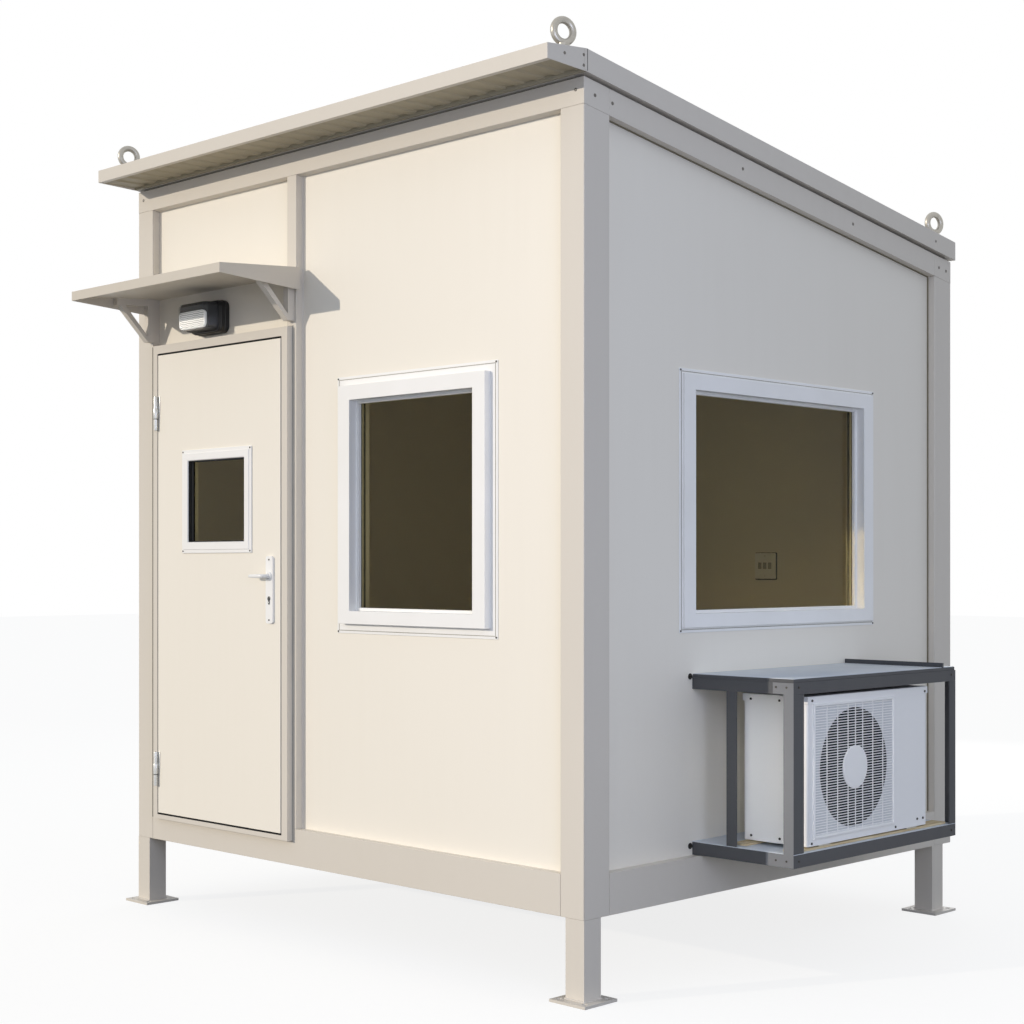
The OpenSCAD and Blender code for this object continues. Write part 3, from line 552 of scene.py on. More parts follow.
def right_side(x: float) -> Side:
    """Gives the side that faces right at x: Y along, Z up."""
    return Side((x, 0.0, 0.0), BACK, UP, RIGHT)


def left_side(x: float) -> Side:
    """Gives the side that faces left at x: Y along, Z up."""
    return Side((x, 0.0, 0.0), BACK, UP, LEFT)


def top_side(z: float) -> Side:
    """Gives the side that faces up at height z: X along, Y up."""
    return Side((0.0, 0.0, z), RIGHT, BACK, UP)


def settle(
    name: str,
    data: bpy.types.Mesh,
    finish: Finish,
    body: Body = Body.BOOTH,
    stands_for: Sequence[str] = (),
    crease: float = CREASE,
) -> None:
    """Links a mesh as a piece that rides on a body.

    Args:
        name: Name of the piece.
        data: Its mesh, in the frame.
        finish: Finish of its surface.
        body: Body that carries it.
        stands_for: Nodes that it replaces.
        crease: Angle over which an edge stays sharp, in degrees.
    """
    piece = bpy.data.objects.new(name, data)
    bpy.context.scene.collection.objects.link(piece)
    data.materials.clear()
    data.materials.append(finish.material())
    for face in data.polygons:
        face.use_smooth = True
    data.set_sharp_from_angle(angle=math.radians(crease))
    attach(piece, body.value)
    if stands_for:
        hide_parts(*stands_for)
    LOG.info("%s: %d faces on %s", name, len(data.polygons), body.value)


class Shape:
    """Collects the faces of one piece."""

    def __init__(self) -> None:
        """Starts with no faces."""
        self.mesh = bmesh.new()

    def box(self, low: Point, high: Point, bevel: float) -> None:
        """Adds a block between two corners, with edges softened by a bevel's width."""
        lo, hi = at(*low), at(*high)
        place = Matrix.Translation((lo + hi) / 2) @ Matrix.Diagonal((*(hi - lo), 1.0))
        made = bmesh.ops.create_cube(self.mesh, size=1.0, matrix=place)
        bmesh.ops.bevel(
            self.mesh,
            geom=list({e for v in made["verts"] for e in v.link_edges}),
            offset=bevel * MM,
            segments=2,
            profile=0.5,
            affect="EDGES",
            clamp_overlap=True,
        )

    def prism(self, outline: Sequence[Vector], push: Vector) -> None:
        """Adds a flat outline of the frame, pushed along a vector in metres."""
        self.loft([outline, [corner + push for corner in outline]])

    def plate(self, side: Side, outline: Section, low: float, high: float) -> None:
        """Adds a flat plate on a side, from one height out of it to another."""
        self.prism([side.at(a, b, low) for a, b in outline], side.aim * ((high - low) * MM))

    def loft(self, rings: Sequence[Sequence[Vector]], closed: bool = False) -> None:
        """Adds a skin over rings of points, capped at its ends unless it is closed.

        Args:
            rings: Rings with the same number of points.
            closed: True where the last ring joins the first.
        """
        made = [[self.mesh.verts.new(p) for p in ring] for ring in rings]
        pairs = list(zip(made, made[1:])) + ([(made[-1], made[0])] if closed else [])
        for one, two in pairs:
            for i, start in enumerate(one):
                j = (i + 1) % len(one)
                self.mesh.faces.new((start, one[j], two[j], two[i]))
        if not closed:
            self.mesh.faces.new(made[0][::-1])
            self.mesh.faces.new(made[-1])

    def frame_loop(self, side: Side, rect: Rect, section: Section) -> None:
        """Adds a mitred strip round a rectangle.

        Args:
            side: Side that the rectangle lies on.
            rect: Left, low, right and high in millimetres.
            section: Corners of the strip, as inset from the rectangle and height off the side.
        """
        inward = ((1, 1), (-1, 1), (-1, -1), (1, -1))
        turns = [(a, b, i, j) for (a, b), (i, j) in zip(corners(rect), inward)]
        rings = [[side.at(a + i * n, b + j * n, h) for n, h in section] for a, b, i, j in turns]
        self.loft(rings, closed=True)

    def lathe(
        self,
        side: Side,
        a: float,
        b: float,
        profile: Section,
        steps: int = 24,
        closed: bool = False,
    ) -> None:
        """Adds a turned form that stands out of a side.

        Args:
            side: Side that it stands on.
            a: Millimetres along.
            b: Millimetres up.
            profile: Radius and height of each ring.
            steps: Points in a ring.
            closed: True where the last ring joins the first.
        """
        turns = circle(steps)
        rings = [[side.at(a + r * c, b + r * s, h) for c, s in turns] for r, h in profile]
        self.loft(rings, closed)

    def slab(
        self,
        side: Side,
        rect: Rect,
        radius: float,
        profile: Section,
        steps: int = 6,
        closed: bool = False,
    ) -> None:
        """Adds a rounded-rectangle form whose inset changes with its height.

        Args:
            side: Side that it stands on.
            rect: Left, low, right and high in millimetres.
            radius: Corner radius in millimetres.
            profile: Inset and height of each ring.
            steps: Segments in a corner.
            closed: True where the last ring joins the first.
        """
        a0, b0, a1, b1 = rect
        least = 0.4
        rings = []
        for inset, height in profile:
            r = max(radius - inset, least)
            ring = []
            for quarter, (ca, cb) in enumerate(((a1, b1), (a0, b1), (a0, b0), (a1, b0))):
                mid_a = ca - math.copysign(inset + r, ca - (a0 + a1) / 2)
                mid_b = cb - math.copysign(inset + r, cb - (b0 + b1) / 2)
                for i in range(steps + 1):
                    t = math.pi / 2 * (quarter + i / steps)
                    ring.append(side.at(mid_a + r * math.cos(t), mid_b + r * math.sin(t), height))
            rings.append(ring)
        self.loft(rings, closed)

    def sweep(self, path: Sequence[Vector], sizes: Section, steps: int) -> None:
        """Adds an oval bar along a path.

        Args:
            path: Points in the frame.
            sizes: Half widths across and up at each point, in millimetres.
            steps: Points in a ring.
        """
        rings = []
        for i, (spot, (wide, high)) in enumerate(zip(path, sizes)):
            ahead = (path[min(i + 1, len(path) - 1)] - path[max(i - 1, 0)]).normalized()
            across = ahead.cross(Vector(UP)).normalized()
            up = across.cross(ahead)
            turns = circle(steps)
            rings.append([spot + (across * wide * c + up * high * s) * MM for c, s in turns])
        self.loft(rings)

    def place(
        self,
        name: str,
        finish: Finish,
        body: Body = Body.BOOTH,
        stands_for: Sequence[str] = (),
        crease: float = CREASE,
    ) -> None:
        """Makes the piece of these faces, with what settle() takes."""
        bmesh.ops.remove_doubles(self.mesh, verts=self.mesh.verts, dist=MERGE)
        bmesh.ops.recalc_face_normals(self.mesh, faces=self.mesh.faces)
        data = bpy.data.meshes.new(name)
        self.mesh.to_mesh(data)
        self.mesh.free()
        settle(name, data, finish, body, stands_for, crease)


class Growth:
    """A Geometry Nodes tree with named inputs that grows one plain mesh from points."""

    def __init__(self, name: str, finish: Finish, inputs: dict[str, tuple[str, Any]]) -> None:
        """Starts the tree.

        Args:
            name: Name of the piece.
            finish: Finish of its surface.
            inputs: Kind of socket and value of each named input.
        """
        self.name = name
        self.finish = finish
        self.inputs = {**inputs, "Finish": ("Material", finish.material())}
        self.tree = bpy.data.node_groups.new(f"{name} tree", "GeometryNodeTree")
        sockets = {"Seed": ("Geometry", None), **self.inputs}
        for label, (kind, _) in sockets.items():
            self.socket(label, "INPUT", kind)
        self.socket("Grown", "OUTPUT", "Geometry")
        self.given = add_node(self.tree, "NodeGroupInput").outputs

    def socket(self, label: str, way: str, kind: str) -> None:
        """Adds a socket to the tree's outside."""
        self.tree.interface.new_socket(label, in_out=way, socket_type=f"NodeSocket{kind}")

    def add(self, kind: str, inputs: dict[str, Any], **settings: Any) -> Socket:
        """Adds a geometry node by the end of its identifier and gives its first output."""
        return add_node(self.tree, f"GeometryNode{kind}", inputs, **settings).outputs[0]

    def part(self, value: Socket, share: float) -> Socket:
        """Gives a share of a value."""
        inputs = {0: value, 1: share}
        return add_node(self.tree, "ShaderNodeMath", inputs, operation="MULTIPLY").outputs[0]

    def vector(self, **inputs: Socket) -> Socket:
        """Gives a vector of the values for X, Y and Z."""
        return add_node(self.tree, "ShaderNodeCombineXYZ", inputs).outputs[0]

    def join(self, pieces: Sequence[Socket]) -> Socket:
        """Joins geometry."""
        node = add_node(self.tree, "GeometryNodeJoinGeometry")
        for piece in pieces:
            self.tree.links.new(piece, node.inputs[0])
        return node.outputs[0]

    def run(self, geometry: Socket, seed: bpy.types.Mesh) -> bpy.types.Mesh:
        """Ends the tree in real faces with their finish, and runs it on a seed mesh.

        Args:
            geometry: Instances that the tree has set out.
            seed: Mesh that the tree starts from.

        Returns:
            The plain mesh.
        """
        real = self.add("RealizeInstances", {"Geometry": geometry})
        painted = self.add("SetMaterial", {"Geometry": real, "Material": self.given["Finish"]})
        add_node(self.tree, "NodeGroupOutput", {"Grown": painted})
        helper = bpy.data.objects.new(f"{self.name} helper", seed)
        bpy.context.scene.collection.objects.link(helper)
        nodes = helper.modifiers.new("nodes", "NODES")
        nodes.node_group = self.tree
        for socket in self.tree.interface.items_tree:
            if socket.name in self.inputs:
                nodes[socket.identifier] = self.inputs[socket.name][1]
        graph = bpy.context.evaluated_depsgraph_get()
        data = bpy.data.meshes.new_from_object(helper.evaluated_get(graph))
        data.name = self.name
        helper.modifiers.remove(nodes)
        bpy.data.objects.remove(helper)
        return data


class Surface:
    """Finds where a line meets a node, so that a fixing sits on it."""

    def __init__(self, piece: bpy.types.Object) -> None:
        """Keeps the node's faces for the search."""
        mesh = piece.data
        spots = [v.co.copy() for v in mesh.vertices]
        self.tree = BVHTree.FromPolygons(spots, [tuple(p.vertices) for p in mesh.polygons])
        self.name = piece.name

    def meet(self, start: Vector, way: Vector) -> tuple[Vector, Vector]:
        """Finds the first surface along a line of the frame.

        Args:
            start: Point outside the node, in metres.
            way: Direction of the line.

        Returns:
            The point on the surface and the surface's outward direction.
        """
        spot, facing, _, _ = self.tree.ray_cast(start, way)
        if spot is None:
            raise ValueError(f"no surface of {self.name} from {start} along {way}")
        return spot, facing


class Head(Enum):
    """Forms of a fixing's head, with the number of sides of its disc."""

    RIVET = 0
    PAN = 14
    HEX = 6


@dataclass
class Fixings:
    """Screws or rivets of one kind, set out by Geometry Nodes on points with an aim."""

    name: str
    finish: Finish
    head: Head
    width: float
    height: float
    body: Body = Body.BOOTH
    spots: list[tuple[Vector, Vector]] = field(default_factory=list)

    def add(self, spot: Vector, aim: Vector) -> None:
        """Notes one fixing at a point of the frame, with the way its head faces."""
        self.spots.append((spot, aim.normalized()))

    def pin(self, side: Side, a: float, b: float, h: float = 0.0) -> None:
        """Notes one fixing on a side, at a along, b up and h out."""
        self.add(side.at(a, b, h), side.aim)

    def on(self, surface: Surface, start: Point, way: Point) -> None:
        """Notes one fixing where a line meets a node's surface."""
        self.add(*surface.meet(at(*start), Vector(way)))

    def solids(self, growth: Growth) -> list[Socket]:
        """Gives the solids of one head: a dome, a disc, or a hexagon on its broad washer."""
        width, height = growth.given["Head Width"], growth.given["Head Height"]
        if self.head is Head.RIVET:
            ball = growth.add("MeshUVSphere", {"Segments": 12, "Rings": 6, "Radius": 0.5})
            scale = growth.vector(X=width, Y=width, Z=height)
            return [growth.add("Transform", {"Geometry": ball, "Scale": scale})]
        rise = growth.part(height, 0.5)
        disc = {"Vertices": self.head.value, "Radius": growth.part(width, 0.5), "Depth": height}
        flat = growth.add("MeshCylinder", disc, fill_type="NGON")
        lift = growth.vector(Z=rise)
        made = [growth.add("Transform", {"Geometry": flat, "Translation": lift})]
        if self.head is Head.HEX:
            washer = {"Vertices": 18, "Radius": growth.part(width, 0.85), "Depth": rise}
            made.append(growth.add("MeshCylinder", washer, fill_type="NGON"))
        return made

    def build(self) -> None:
        """Makes one plain mesh of all the heads."""
        sizes = {"Head Width": self.width, "Head Height": self.height}
        inputs = {label: ("Float", size * MM) for label, size in sizes.items()}
        growth = Growth(self.name, self.finish, inputs)
        aim = growth.add("InputNamedAttribute", {"Name": "aim"}, data_type="FLOAT_VECTOR")
        turn = "FunctionNodeAlignRotationToVector"
        turned = add_node(growth.tree, turn, {"Vector": aim}, axis="Z").outputs["Rotation"]
        head = {"Instance": growth.join(self.solids(growth)), "Rotation": turned}
        spread = growth.add("InstanceOnPoints", {"Points": growth.given["Seed"], **head})
        seed = bpy.data.meshes.new(f"{self.name} spots")
        seed.from_pydata([tuple(spot) for spot, _ in self.spots], [], [])
        aims = seed.attributes.new("aim", "FLOAT_VECTOR", "POINT")
        aims.data.foreach_set("vector", [c for _, way in self.spots for c in way])
        settle(self.name, growth.run(spread, seed), self.finish, self.body)


def dress(nodes: Nodes, names: Sequence[str], finish: Finish, bevel: float = 0.0) -> None:
    """Gives carried-over nodes their finish and softened edges.

    Args:
        nodes: Nodes of the frame by name.
        names: Names of the nodes to dress.
        finish: Finish of their surface.
        bevel: Width of the softened edges in millimetres, or none.
    """
    for name in names:
        piece = nodes[name]
        if not piece.material_slots:
            piece.data.materials.append(finish.material())
        for place in piece.material_slots:
            place.material = finish.material()
        if bevel:
            weld = piece.modifiers.new("merge", "WELD")
            weld.merge_threshold = MERGE
            flat = piece.modifiers.new("flat", "DECIMATE")
            flat.decimate_type = "DISSOLVE"
            flat.angle_limit = math.radians(FLAT_ANGLE)
            edge = piece.modifiers.new("edges", "BEVEL")
            edge.width = bevel * MM
            edge.segments = 2
            edge.limit_method = "ANGLE"
            edge.angle_limit = math.radians(BEVEL_ANGLE)
            edge.harden_normals = True
        LOG.info("%s: %s", name, finish.name)


@dataclass(frozen=True)
class SoftLamp:
    """A square lamp of the studio, in metres, with its power in watts and spread in degrees."""

    name: str
    spot: Point
    target: Point
    size: float
    colour: str
    power: float
    spread: float = 180.0


@dataclass
class Studio:
    """Camera at the photograph's place, pale floor, low sun, soft lamps and an even sky."""

    camera_at: Point = (5.283, -5.5115, 1.481)
    camera_turn: float = 44.5256
    lens: float = 61.73
    sensor: float = 36.0
    shift_up: float = 0.0514
    far_clip: float = 200.0
    sun_way: Point = (0.49, 1.0, -0.29)
    sun_colour: str = "FFF4E4"
    sun_strength: float = 1.98
    sun_width: float = 0.6
    # A cool fill from the right, an even one from behind, and a narrow one for the outdoor unit
    soft_lamps: tuple[SoftLamp, ...] = (
        SoftLamp("cool_fill", (5.8, -3.6, 2.0), (1.3, 0.3, 1.3), 3.0, "CCD8FC", 82.0),
        SoftLamp("back_fill", (-3.5, 6.5, 3.0), (0.0, 0.6, 1.5), 4.0, "FFFFFF", 90.0),
        SoftLamp("unit_fill", (2.05, -2.2, 0.75), (1.56, -0.41, 0.75), 0.5, "FFFAF0", 0.26, 24.0),
    )
    sky_colour: str = "E9F1FF"
    sky_strength: float = 0.65
    floor_half: float = 40.0
    floor_colour: str = "7D7C79"
    floor_glow: float = 0.82

    def build(self) -> None:
        """Sets up the camera, lamps, world and floor."""
        scene = bpy.context.scene
        scene.view_settings.view_transform = "Standard"
        data = bpy.data.cameras.new("photo_camera")
        data.sensor_width = self.sensor
        data.lens = self.lens
        data.shift_y = self.shift_up
        data.clip_end = self.far_clip
        camera = bpy.data.objects.new("photo_camera", data)
        camera.location = self.camera_at
        camera.rotation_euler = (math.pi / 2, 0.0, math.radians(self.camera_turn))
        scene.collection.objects.link(camera)
        scene.camera = camera
        sun = self.lamp("low_sun", "SUN", self.sun_colour, self.sun_strength, Vector(self.sun_way))
        sun.data.angle = math.radians(self.sun_width)
        for soft in self.soft_lamps:
            way = Vector(soft.target) - Vector(soft.spot)
            hung = self.lamp(soft.name, "AREA", soft.colour, soft.power, way)
            hung.location = soft.spot
            hung.data.size = soft.size
            hung.data.spread = math.radians(soft.spread)
        self.sky()
        self.floor()
        LOG.info("studio: camera, sun, lamps, sky and floor")

    def lamp(
        self, name: str, kind: str, colour: str, energy: float, way: Vector
    ) -> bpy.types.Object:
        """Hangs one lamp.

        Args:
            name: Name of the lamp.
            kind: Blender's kind of light.
            colour: Colour in hex.
            energy: Strength, or power for an area.
            way: Direction in which it shines.

        Returns:
            The lamp object.
        """
        data = bpy.data.lights.new(name, kind)
        data.energy = energy
        data.color = linear(colour)[:3]
        hung = bpy.data.objects.new(name, data)
        hung.rotation_euler = way.to_track_quat("-Z", "Y").to_euler()
        # A lamp behind the booth doesn't show as a bright square in a pane
        hung.visible_transmission = False
        bpy.context.scene.collection.objects.link(hung)
        return hung

    def seen(self, tree: Tree) -> Socket:
        """Gives one where a ray shows the background: seen directly, in gloss or through glass."""
        path = add_node(tree, "ShaderNodeLightPath").outputs
        most = path["Is Camera Ray"]
        for kind in ("Is Glossy Ray", "Is Transmission Ray"):
            inputs = {0: most, 1: path[kind]}
            most = add_node(tree, "ShaderNodeMath", inputs, operation="MAXIMUM").outputs[0]
        return most

    def sky(self) -> None:
        """Lights the scene evenly and shows plain white behind it."""
        world = bpy.data.worlds.new("studio")
        world.use_nodes = True
        tree = world.node_tree
        tree.nodes.clear()
        inputs: dict[int, Socket] = {0: self.seen(tree)}
        skies = ((self.sky_colour, self.sky_strength), ("FFFFFF", 1.0))
        for i, (colour, strength) in enumerate(skies, 1):
            light = {"Color": linear(colour), "Strength": strength}
            inputs[i] = add_node(tree, "ShaderNodeBackground", light).outputs["Background"]
        mixed = add_node(tree, "ShaderNodeMixShader", inputs)
        add_node(tree, "ShaderNodeOutputWorld", {"Surface": mixed.outputs["Shader"]})
        bpy.context.scene.world = world

    def floor(self) -> None:
        """Lays a pale floor that shows near white and keeps the booth's shadow."""
        half = self.floor_half
        data = bpy.data.meshes.new("floor")
        spots = [(a, b, 0.0) for a, b in corners((-half, -half, half, half))]
        data.from_pydata(spots, [], [(0, 1, 2, 3)])
        pale = bpy.data.materials.new("Pale studio floor")
        pale.use_nodes = True
        tree = pale.node_tree
        tree.nodes.clear()
        matt = add_node(tree, "ShaderNodeBsdfDiffuse", {"Color": linear(self.floor_colour)})
        shown = {0: self.seen(tree), 1: self.floor_glow}
        amount = add_node(tree, "ShaderNodeMath", shown, operation="MULTIPLY")
        glow = add_node(tree, "ShaderNodeEmission", {"Strength": amount.outputs[0]})
        inputs = {0: matt.outputs["BSDF"], 1: glow.outputs["Emission"]}
        both = add_node(tree, "ShaderNodeAddShader", inputs)
        add_node(tree, "ShaderNodeOutputMaterial", {"Surface": both.outputs["Shader"]})
        data.materials.append(pale)
        floor = bpy.data.objects.new("floor", data)
        bpy.context.scene.collection.objects.link(floor)


@dataclass
class Cabin:
    """Legs, base, posts, panels and rails, with their seals, welds and rivets."""

    post_w: float = 110.0
    post_d: float = 130.0
    panel_back: float = 35.0
    base_top: float = 430.0
    eaves: float = 3030.0
    door_post: Pair = (1051.0, 1109.0)
    strip: float = 4.0
    strip_proud: float = 5.0
    bead: float = 6.0
    leg_tube: float = 85.0
    leg_x: Pair = (42.5, 2607.5)
    leg_y: Pair = (42.5, 2242.5)
    plate_top: float = 10.0
    weld_radius: float = 4.5
    weld_pitch: float = 6.5
    rivet_in: float = 38.0
    # Height of a rivet above the eaves on the front, side and back rails
    front_rivet: float = 52.0
    end_rivet: float = 44.0
    side_rivet: float = 46.0
    back_rivet: float = 50.0

    def build(self, nodes: Nodes) -> None:
        """Dresses the cabin and adds its strips, welds and rivets."""
        dress(nodes, ("legs", "base_beams", "floor_joists"), FRAME_PAINT, 1.5)
        rails = ("front_top_rail", "back_top_rail", "side_top_rails")
        dress(nodes, ("corner_posts", "door_post", *rails), FRAME_PAINT, 1.8)
        walls = ("front_wall", "over_door_panel", "left_wall", "right_wall", "back_wall")
        dress(nodes, walls, PANEL_SKIN)
        dress(nodes, ("floor_deck",), FLOOR_SHEET)
        dress(nodes, ("roof_seal",), JOINT_FOAM_AND_SHADE)
        self.seal_panels()
        self.weld_legs()
        self.rivet_rails(nodes)

    def seal_panels(self) -> None:
        """Runs a dark strip under the rails and up the panels' edges, as the photograph shows."""
        front, back = front_side(self.panel_back), back_side(DEPTH - self.panel_back)
        top, s, h = self.eaves, self.strip, self.strip_proud
        left, right = self.post_w, WIDTH - self.post_w
        # The strip is a panel seal, dark enough to also paint the shade under the rails and beside
        # the posts
        shape = Shape()
        for side, x0, x1, z in (
            (front, left, self.door_post[0], top),
            (front, self.door_post[1], right, top),
            (back, left, right, falling(top, DEPTH)),
        ):
            shape.plate(side, corners((x0, z - s, x1, z)), 0.0, h)
        y0, y1 = self.post_d, DEPTH - self.post_d
        z0, z1 = falling(top, y0), falling(top, y1)
        for side in (right_side(WIDTH - self.panel_back), left_side(self.panel_back)):
            shape.plate(side, ((y0, z0 - s), (y1, z1 - s), (y1, z1), (y0, z0)), 0.0, h)
            shape.plate(side, corners((y1 - s, self.base_top, y1, z1 - s)), 0.0, h)
        shape.place("panel_seal_and_shade_strips", SEAL_AND_SHADE_STRIP)
        beads = Shape()
        low, b = self.base_top, self.bead
        for x, inner in ((self.door_post[1], self.door_post[1] + b), (right, right - b)):
            corner = (front.at(x, low), front.at(inner, low), front.at(x, low, b))
            beads.prism(corner, Vector((0.0, 0.0, (top - s - low) * MM)))
        beads.place("panel_corner_beads", FRAME_PAINT)

    def weld_legs(self) -> None:
        """Lays a weld round each leg's foot, bead by bead with Geometry Nodes."""
        name = "leg_foot_welds"
        sizes = {"Bead Radius": self.weld_radius, "Bead Pitch": self.weld_pitch}
        inputs = {label: ("Float", size * MM) for label, size in sizes.items()}
        growth = Growth(name, FRAME_PAINT, inputs)
        given = growth.given
        line = growth.add("MeshToCurve", {"Mesh": given["Seed"]})
        pitch = {"Curve": line, "Length": given["Bead Pitch"]}
        steps = growth.add("ResampleCurve", pitch, mode="LENGTH")
        bead = {"Segments": 8, "Rings": 5, "Radius": given["Bead Radius"]}
        ball = growth.add("MeshUVSphere", bead)
        spread = growth.add("InstanceOnPoints", {"Points": steps, "Instance": ball})
        n, z = self.leg_tube / 2 + SINK, self.plate_top + SINK
        spots: list[tuple[float, ...]] = []
        edges: list[tuple[int, int]] = []
        for x in self.leg_x:
            for y in self.leg_y:
                first = len(spots)
                spots += [tuple(at(a, b, z)) for a, b in corners((x - n, y - n, x + n, y + n))]
                edges += [(first + i, first + (i + 1) % 4) for i in range(4)]
        seed = bpy.data.meshes.new(f"{name} paths")
        seed.from_pydata(spots, edges, [])
        settle(name, growth.run(spread, seed), FRAME_PAINT)

    def rivet_rails(self, nodes: Nodes) -> None:
        """Sets the rivets at the ends of the rails."""
        rivets = Fixings("rail_rivets", RIVET, Head.RIVET, 13.0, 5.5)
        front = Surface(nodes["front_top_rail"])
        sides = Surface(nodes["side_top_rails"])
        back = Surface(nodes["back_top_rail"])
        across = (self.rivet_in, WIDTH - self.rivet_in)
        for x in across:
            rivets.on(front, (x, -OUTSIDE, self.eaves + self.front_rivet), BACK)
        rows = (
            (front, self.end_rivet, (55.0,)),
            (sides, self.side_rivet, (144.0, 877.0, 1603.0)),
            (back, self.end_rivet, (DEPTH - 95.0, DEPTH - self.rivet_in)),
        )
        for x, way in FROM_ENDS:
            for rail, lift, spots in rows:
                for y in spots:
                    rivets.on(rail, (x, y, falling(self.eaves, y) + lift), way)
        for x in across:
            z = falling(self.eaves, DEPTH) + self.back_rivet
            rivets.on(back, (x, DEPTH + OUTSIDE, z), FORWARD)
        rivets.build()


@dataclass
class Roof:
    """Eave, soffit, verges, roof sheet and lifting eyes, with their screws and rivets."""

    verge_proud: float = 15.0
    rib_pitch: float = 320.0
    rib_count: int = 8
    screw_rows: tuple[float, ...] = (70.0, 620.0, 1180.0, 1740.0, 2240.0)
    # Depth and height of the rivets at the eave's ends, and of the last one on a verge
    eave_rivets: Section = ((-112.0, 3172.0), (-18.0, 3185.0), (-18.0, 3150.0))
    verge_rivet: Pair = (2205.0, 3171.0)
    verge_rows: tuple[float, ...] = (120.0, 540.0, 960.0, 1380.0, 1800.0, 2220.0)
    verge_in: float = 17.0
    joint: Rect = (-1.8, 3136.0, 1.8, 3209.0)
    lap: Rect = (-14.0, 3137.0, -1.8, 3208.5)
    trim_in: float = 4.0
    edge_z: Pair = (3132.5, 3150.0)
    edge_deep: float = 14.0
    filler_z: Pair = (3158.0, 3207.0)
    eye_x: Pair = (30.0, 2620.0)
    eye_y: Pair = (-70.0, 2265.0)
    # Sideways step from an eye's middle to open sheet beside its shank
    eye_clear: float = 26.0
    washer: Section = ((27.0, -0.5), (27.0, 3.0), (25.5, 4.0), (21.4, 4.0), (21.4, -0.5))
    washer_steps: int = 28

    def build(self, nodes: Nodes) -> None:
        """Dresses the roof and sets its screws, rivets and eye washers."""
        dress(nodes, ("eave_trim", "verge_trims", "back_fascia"), FRAME_PAINT, 1.5)
        dress(nodes, ("eave_soffit",), SHADED_SOFFIT_SHEET)
        dress(nodes, ("roof_panel",), PANEL_SKIN)
        dress(nodes, ("lifting_eyes",), ZINC)
        sheet = Surface(nodes["roof_panel"])
        screws = Fixings("roof_sheet_screws", BRIGHT_ZINC, Head.HEX, 10.0, 7.0)
        for i in range(self.rib_count):
            x = WIDTH / 2 + (i - (self.rib_count - 1) / 2) * self.rib_pitch
            for y in self.screw_rows:
                screws.on(sheet, (x, y, SKY), DOWN)
        screws.build()
        rivets = Fixings("eave_rivets", RIVET, Head.RIVET, 11.5, 5.0)
        eave, verge = Surface(nodes["eave_trim"]), Surface(nodes["verge_trims"])
        last, high = self.verge_rivet
        for x, way in FROM_ENDS:
            for y, z in self.eave_rivets:
                rivets.on(eave, (x, y, z), way)
            rivets.on(verge, (x, last, falling(high, last)), way)
        for y in self.verge_rows:
            for x in (self.verge_in, WIDTH - self.verge_in):
                rivets.on(verge, (x, y, SKY), DOWN)
        rivets.build()
        self.seat_eyes((eave, verge))
        self.seams()

    def seams(self) -> None:
        """Draws the joints of the eave's ends beside their laps, and trims the sheets' ends."""
        joint, lap, edge, filler = Shape(), Shape(), Shape(), Shape()
        out = self.verge_proud
        for side in (right_side(WIDTH + out), left_side(-out)):
            joint.plate(side, corners(self.joint), -SINK, 0.5)
            lap.plate(side, corners(self.lap), -SINK, 0.9)
        joint.place("eave_end_joints", GASKET_AND_SHADE)
        left, right = self.trim_in - out, WIDTH + out - self.trim_in
        low, high = self.edge_z
        edge.box((left, -self.edge_deep, low), (right, SINK, high), 1.0)
        edge.place("soffit_edge_trim", SHADED_SOFFIT_SHEET)
        lap.place("eave_end_laps", FRAME_PAINT)
        # A folded strip closes the roof sheet's end under the eave
        low, high = self.filler_z
        filler.box((left, -4.0, low), (right, -0.4, high), 0.5)
        filler.box((left, -24.0, low), (right, -3.0, low + 3.0), 0.5)
        filler.place("roof_end_filler", FRAME_PAINT)

    def seat_eyes(self, grounds: Sequence[Surface]) -> None:
        """Puts a washer plate under each lifting eye, on the eave in front and the verge behind."""
        shape = Shape()
        for x in self.eye_x:
            beside = x - self.eye_clear if x < WIDTH / 2 else x + self.eye_clear
            for y, ground in zip(self.eye_y, grounds):
                spot, facing = ground.meet(at(beside, y, SKY), Vector(DOWN))
                spot.x = at(x, y, 0.0).x
                around = facing.orthogonal().normalized()
                across = facing.cross(around)
                turns = circle(self.washer_steps)
                rings = [
                    [spot + (around * c * r + across * s * r + facing * h) * MM for c, s in turns]
                    for r, h in self.washer
                ]
                shape.loft(rings, closed=True)
        shape.place("eye_washers", ZINC)


@dataclass
class DoorCanopy:
    """Small sheet canopy over the door on two brackets."""

    edge: float = 1.2

    def build(self, nodes: Nodes) -> None:
        """Dresses the canopy and its brackets."""
        dress(nodes, ("canopy",), SHADED_CANOPY_PAINT, self.edge)
        dress(nodes, ("canopy_brackets",), FRAME_PAINT, self.edge)


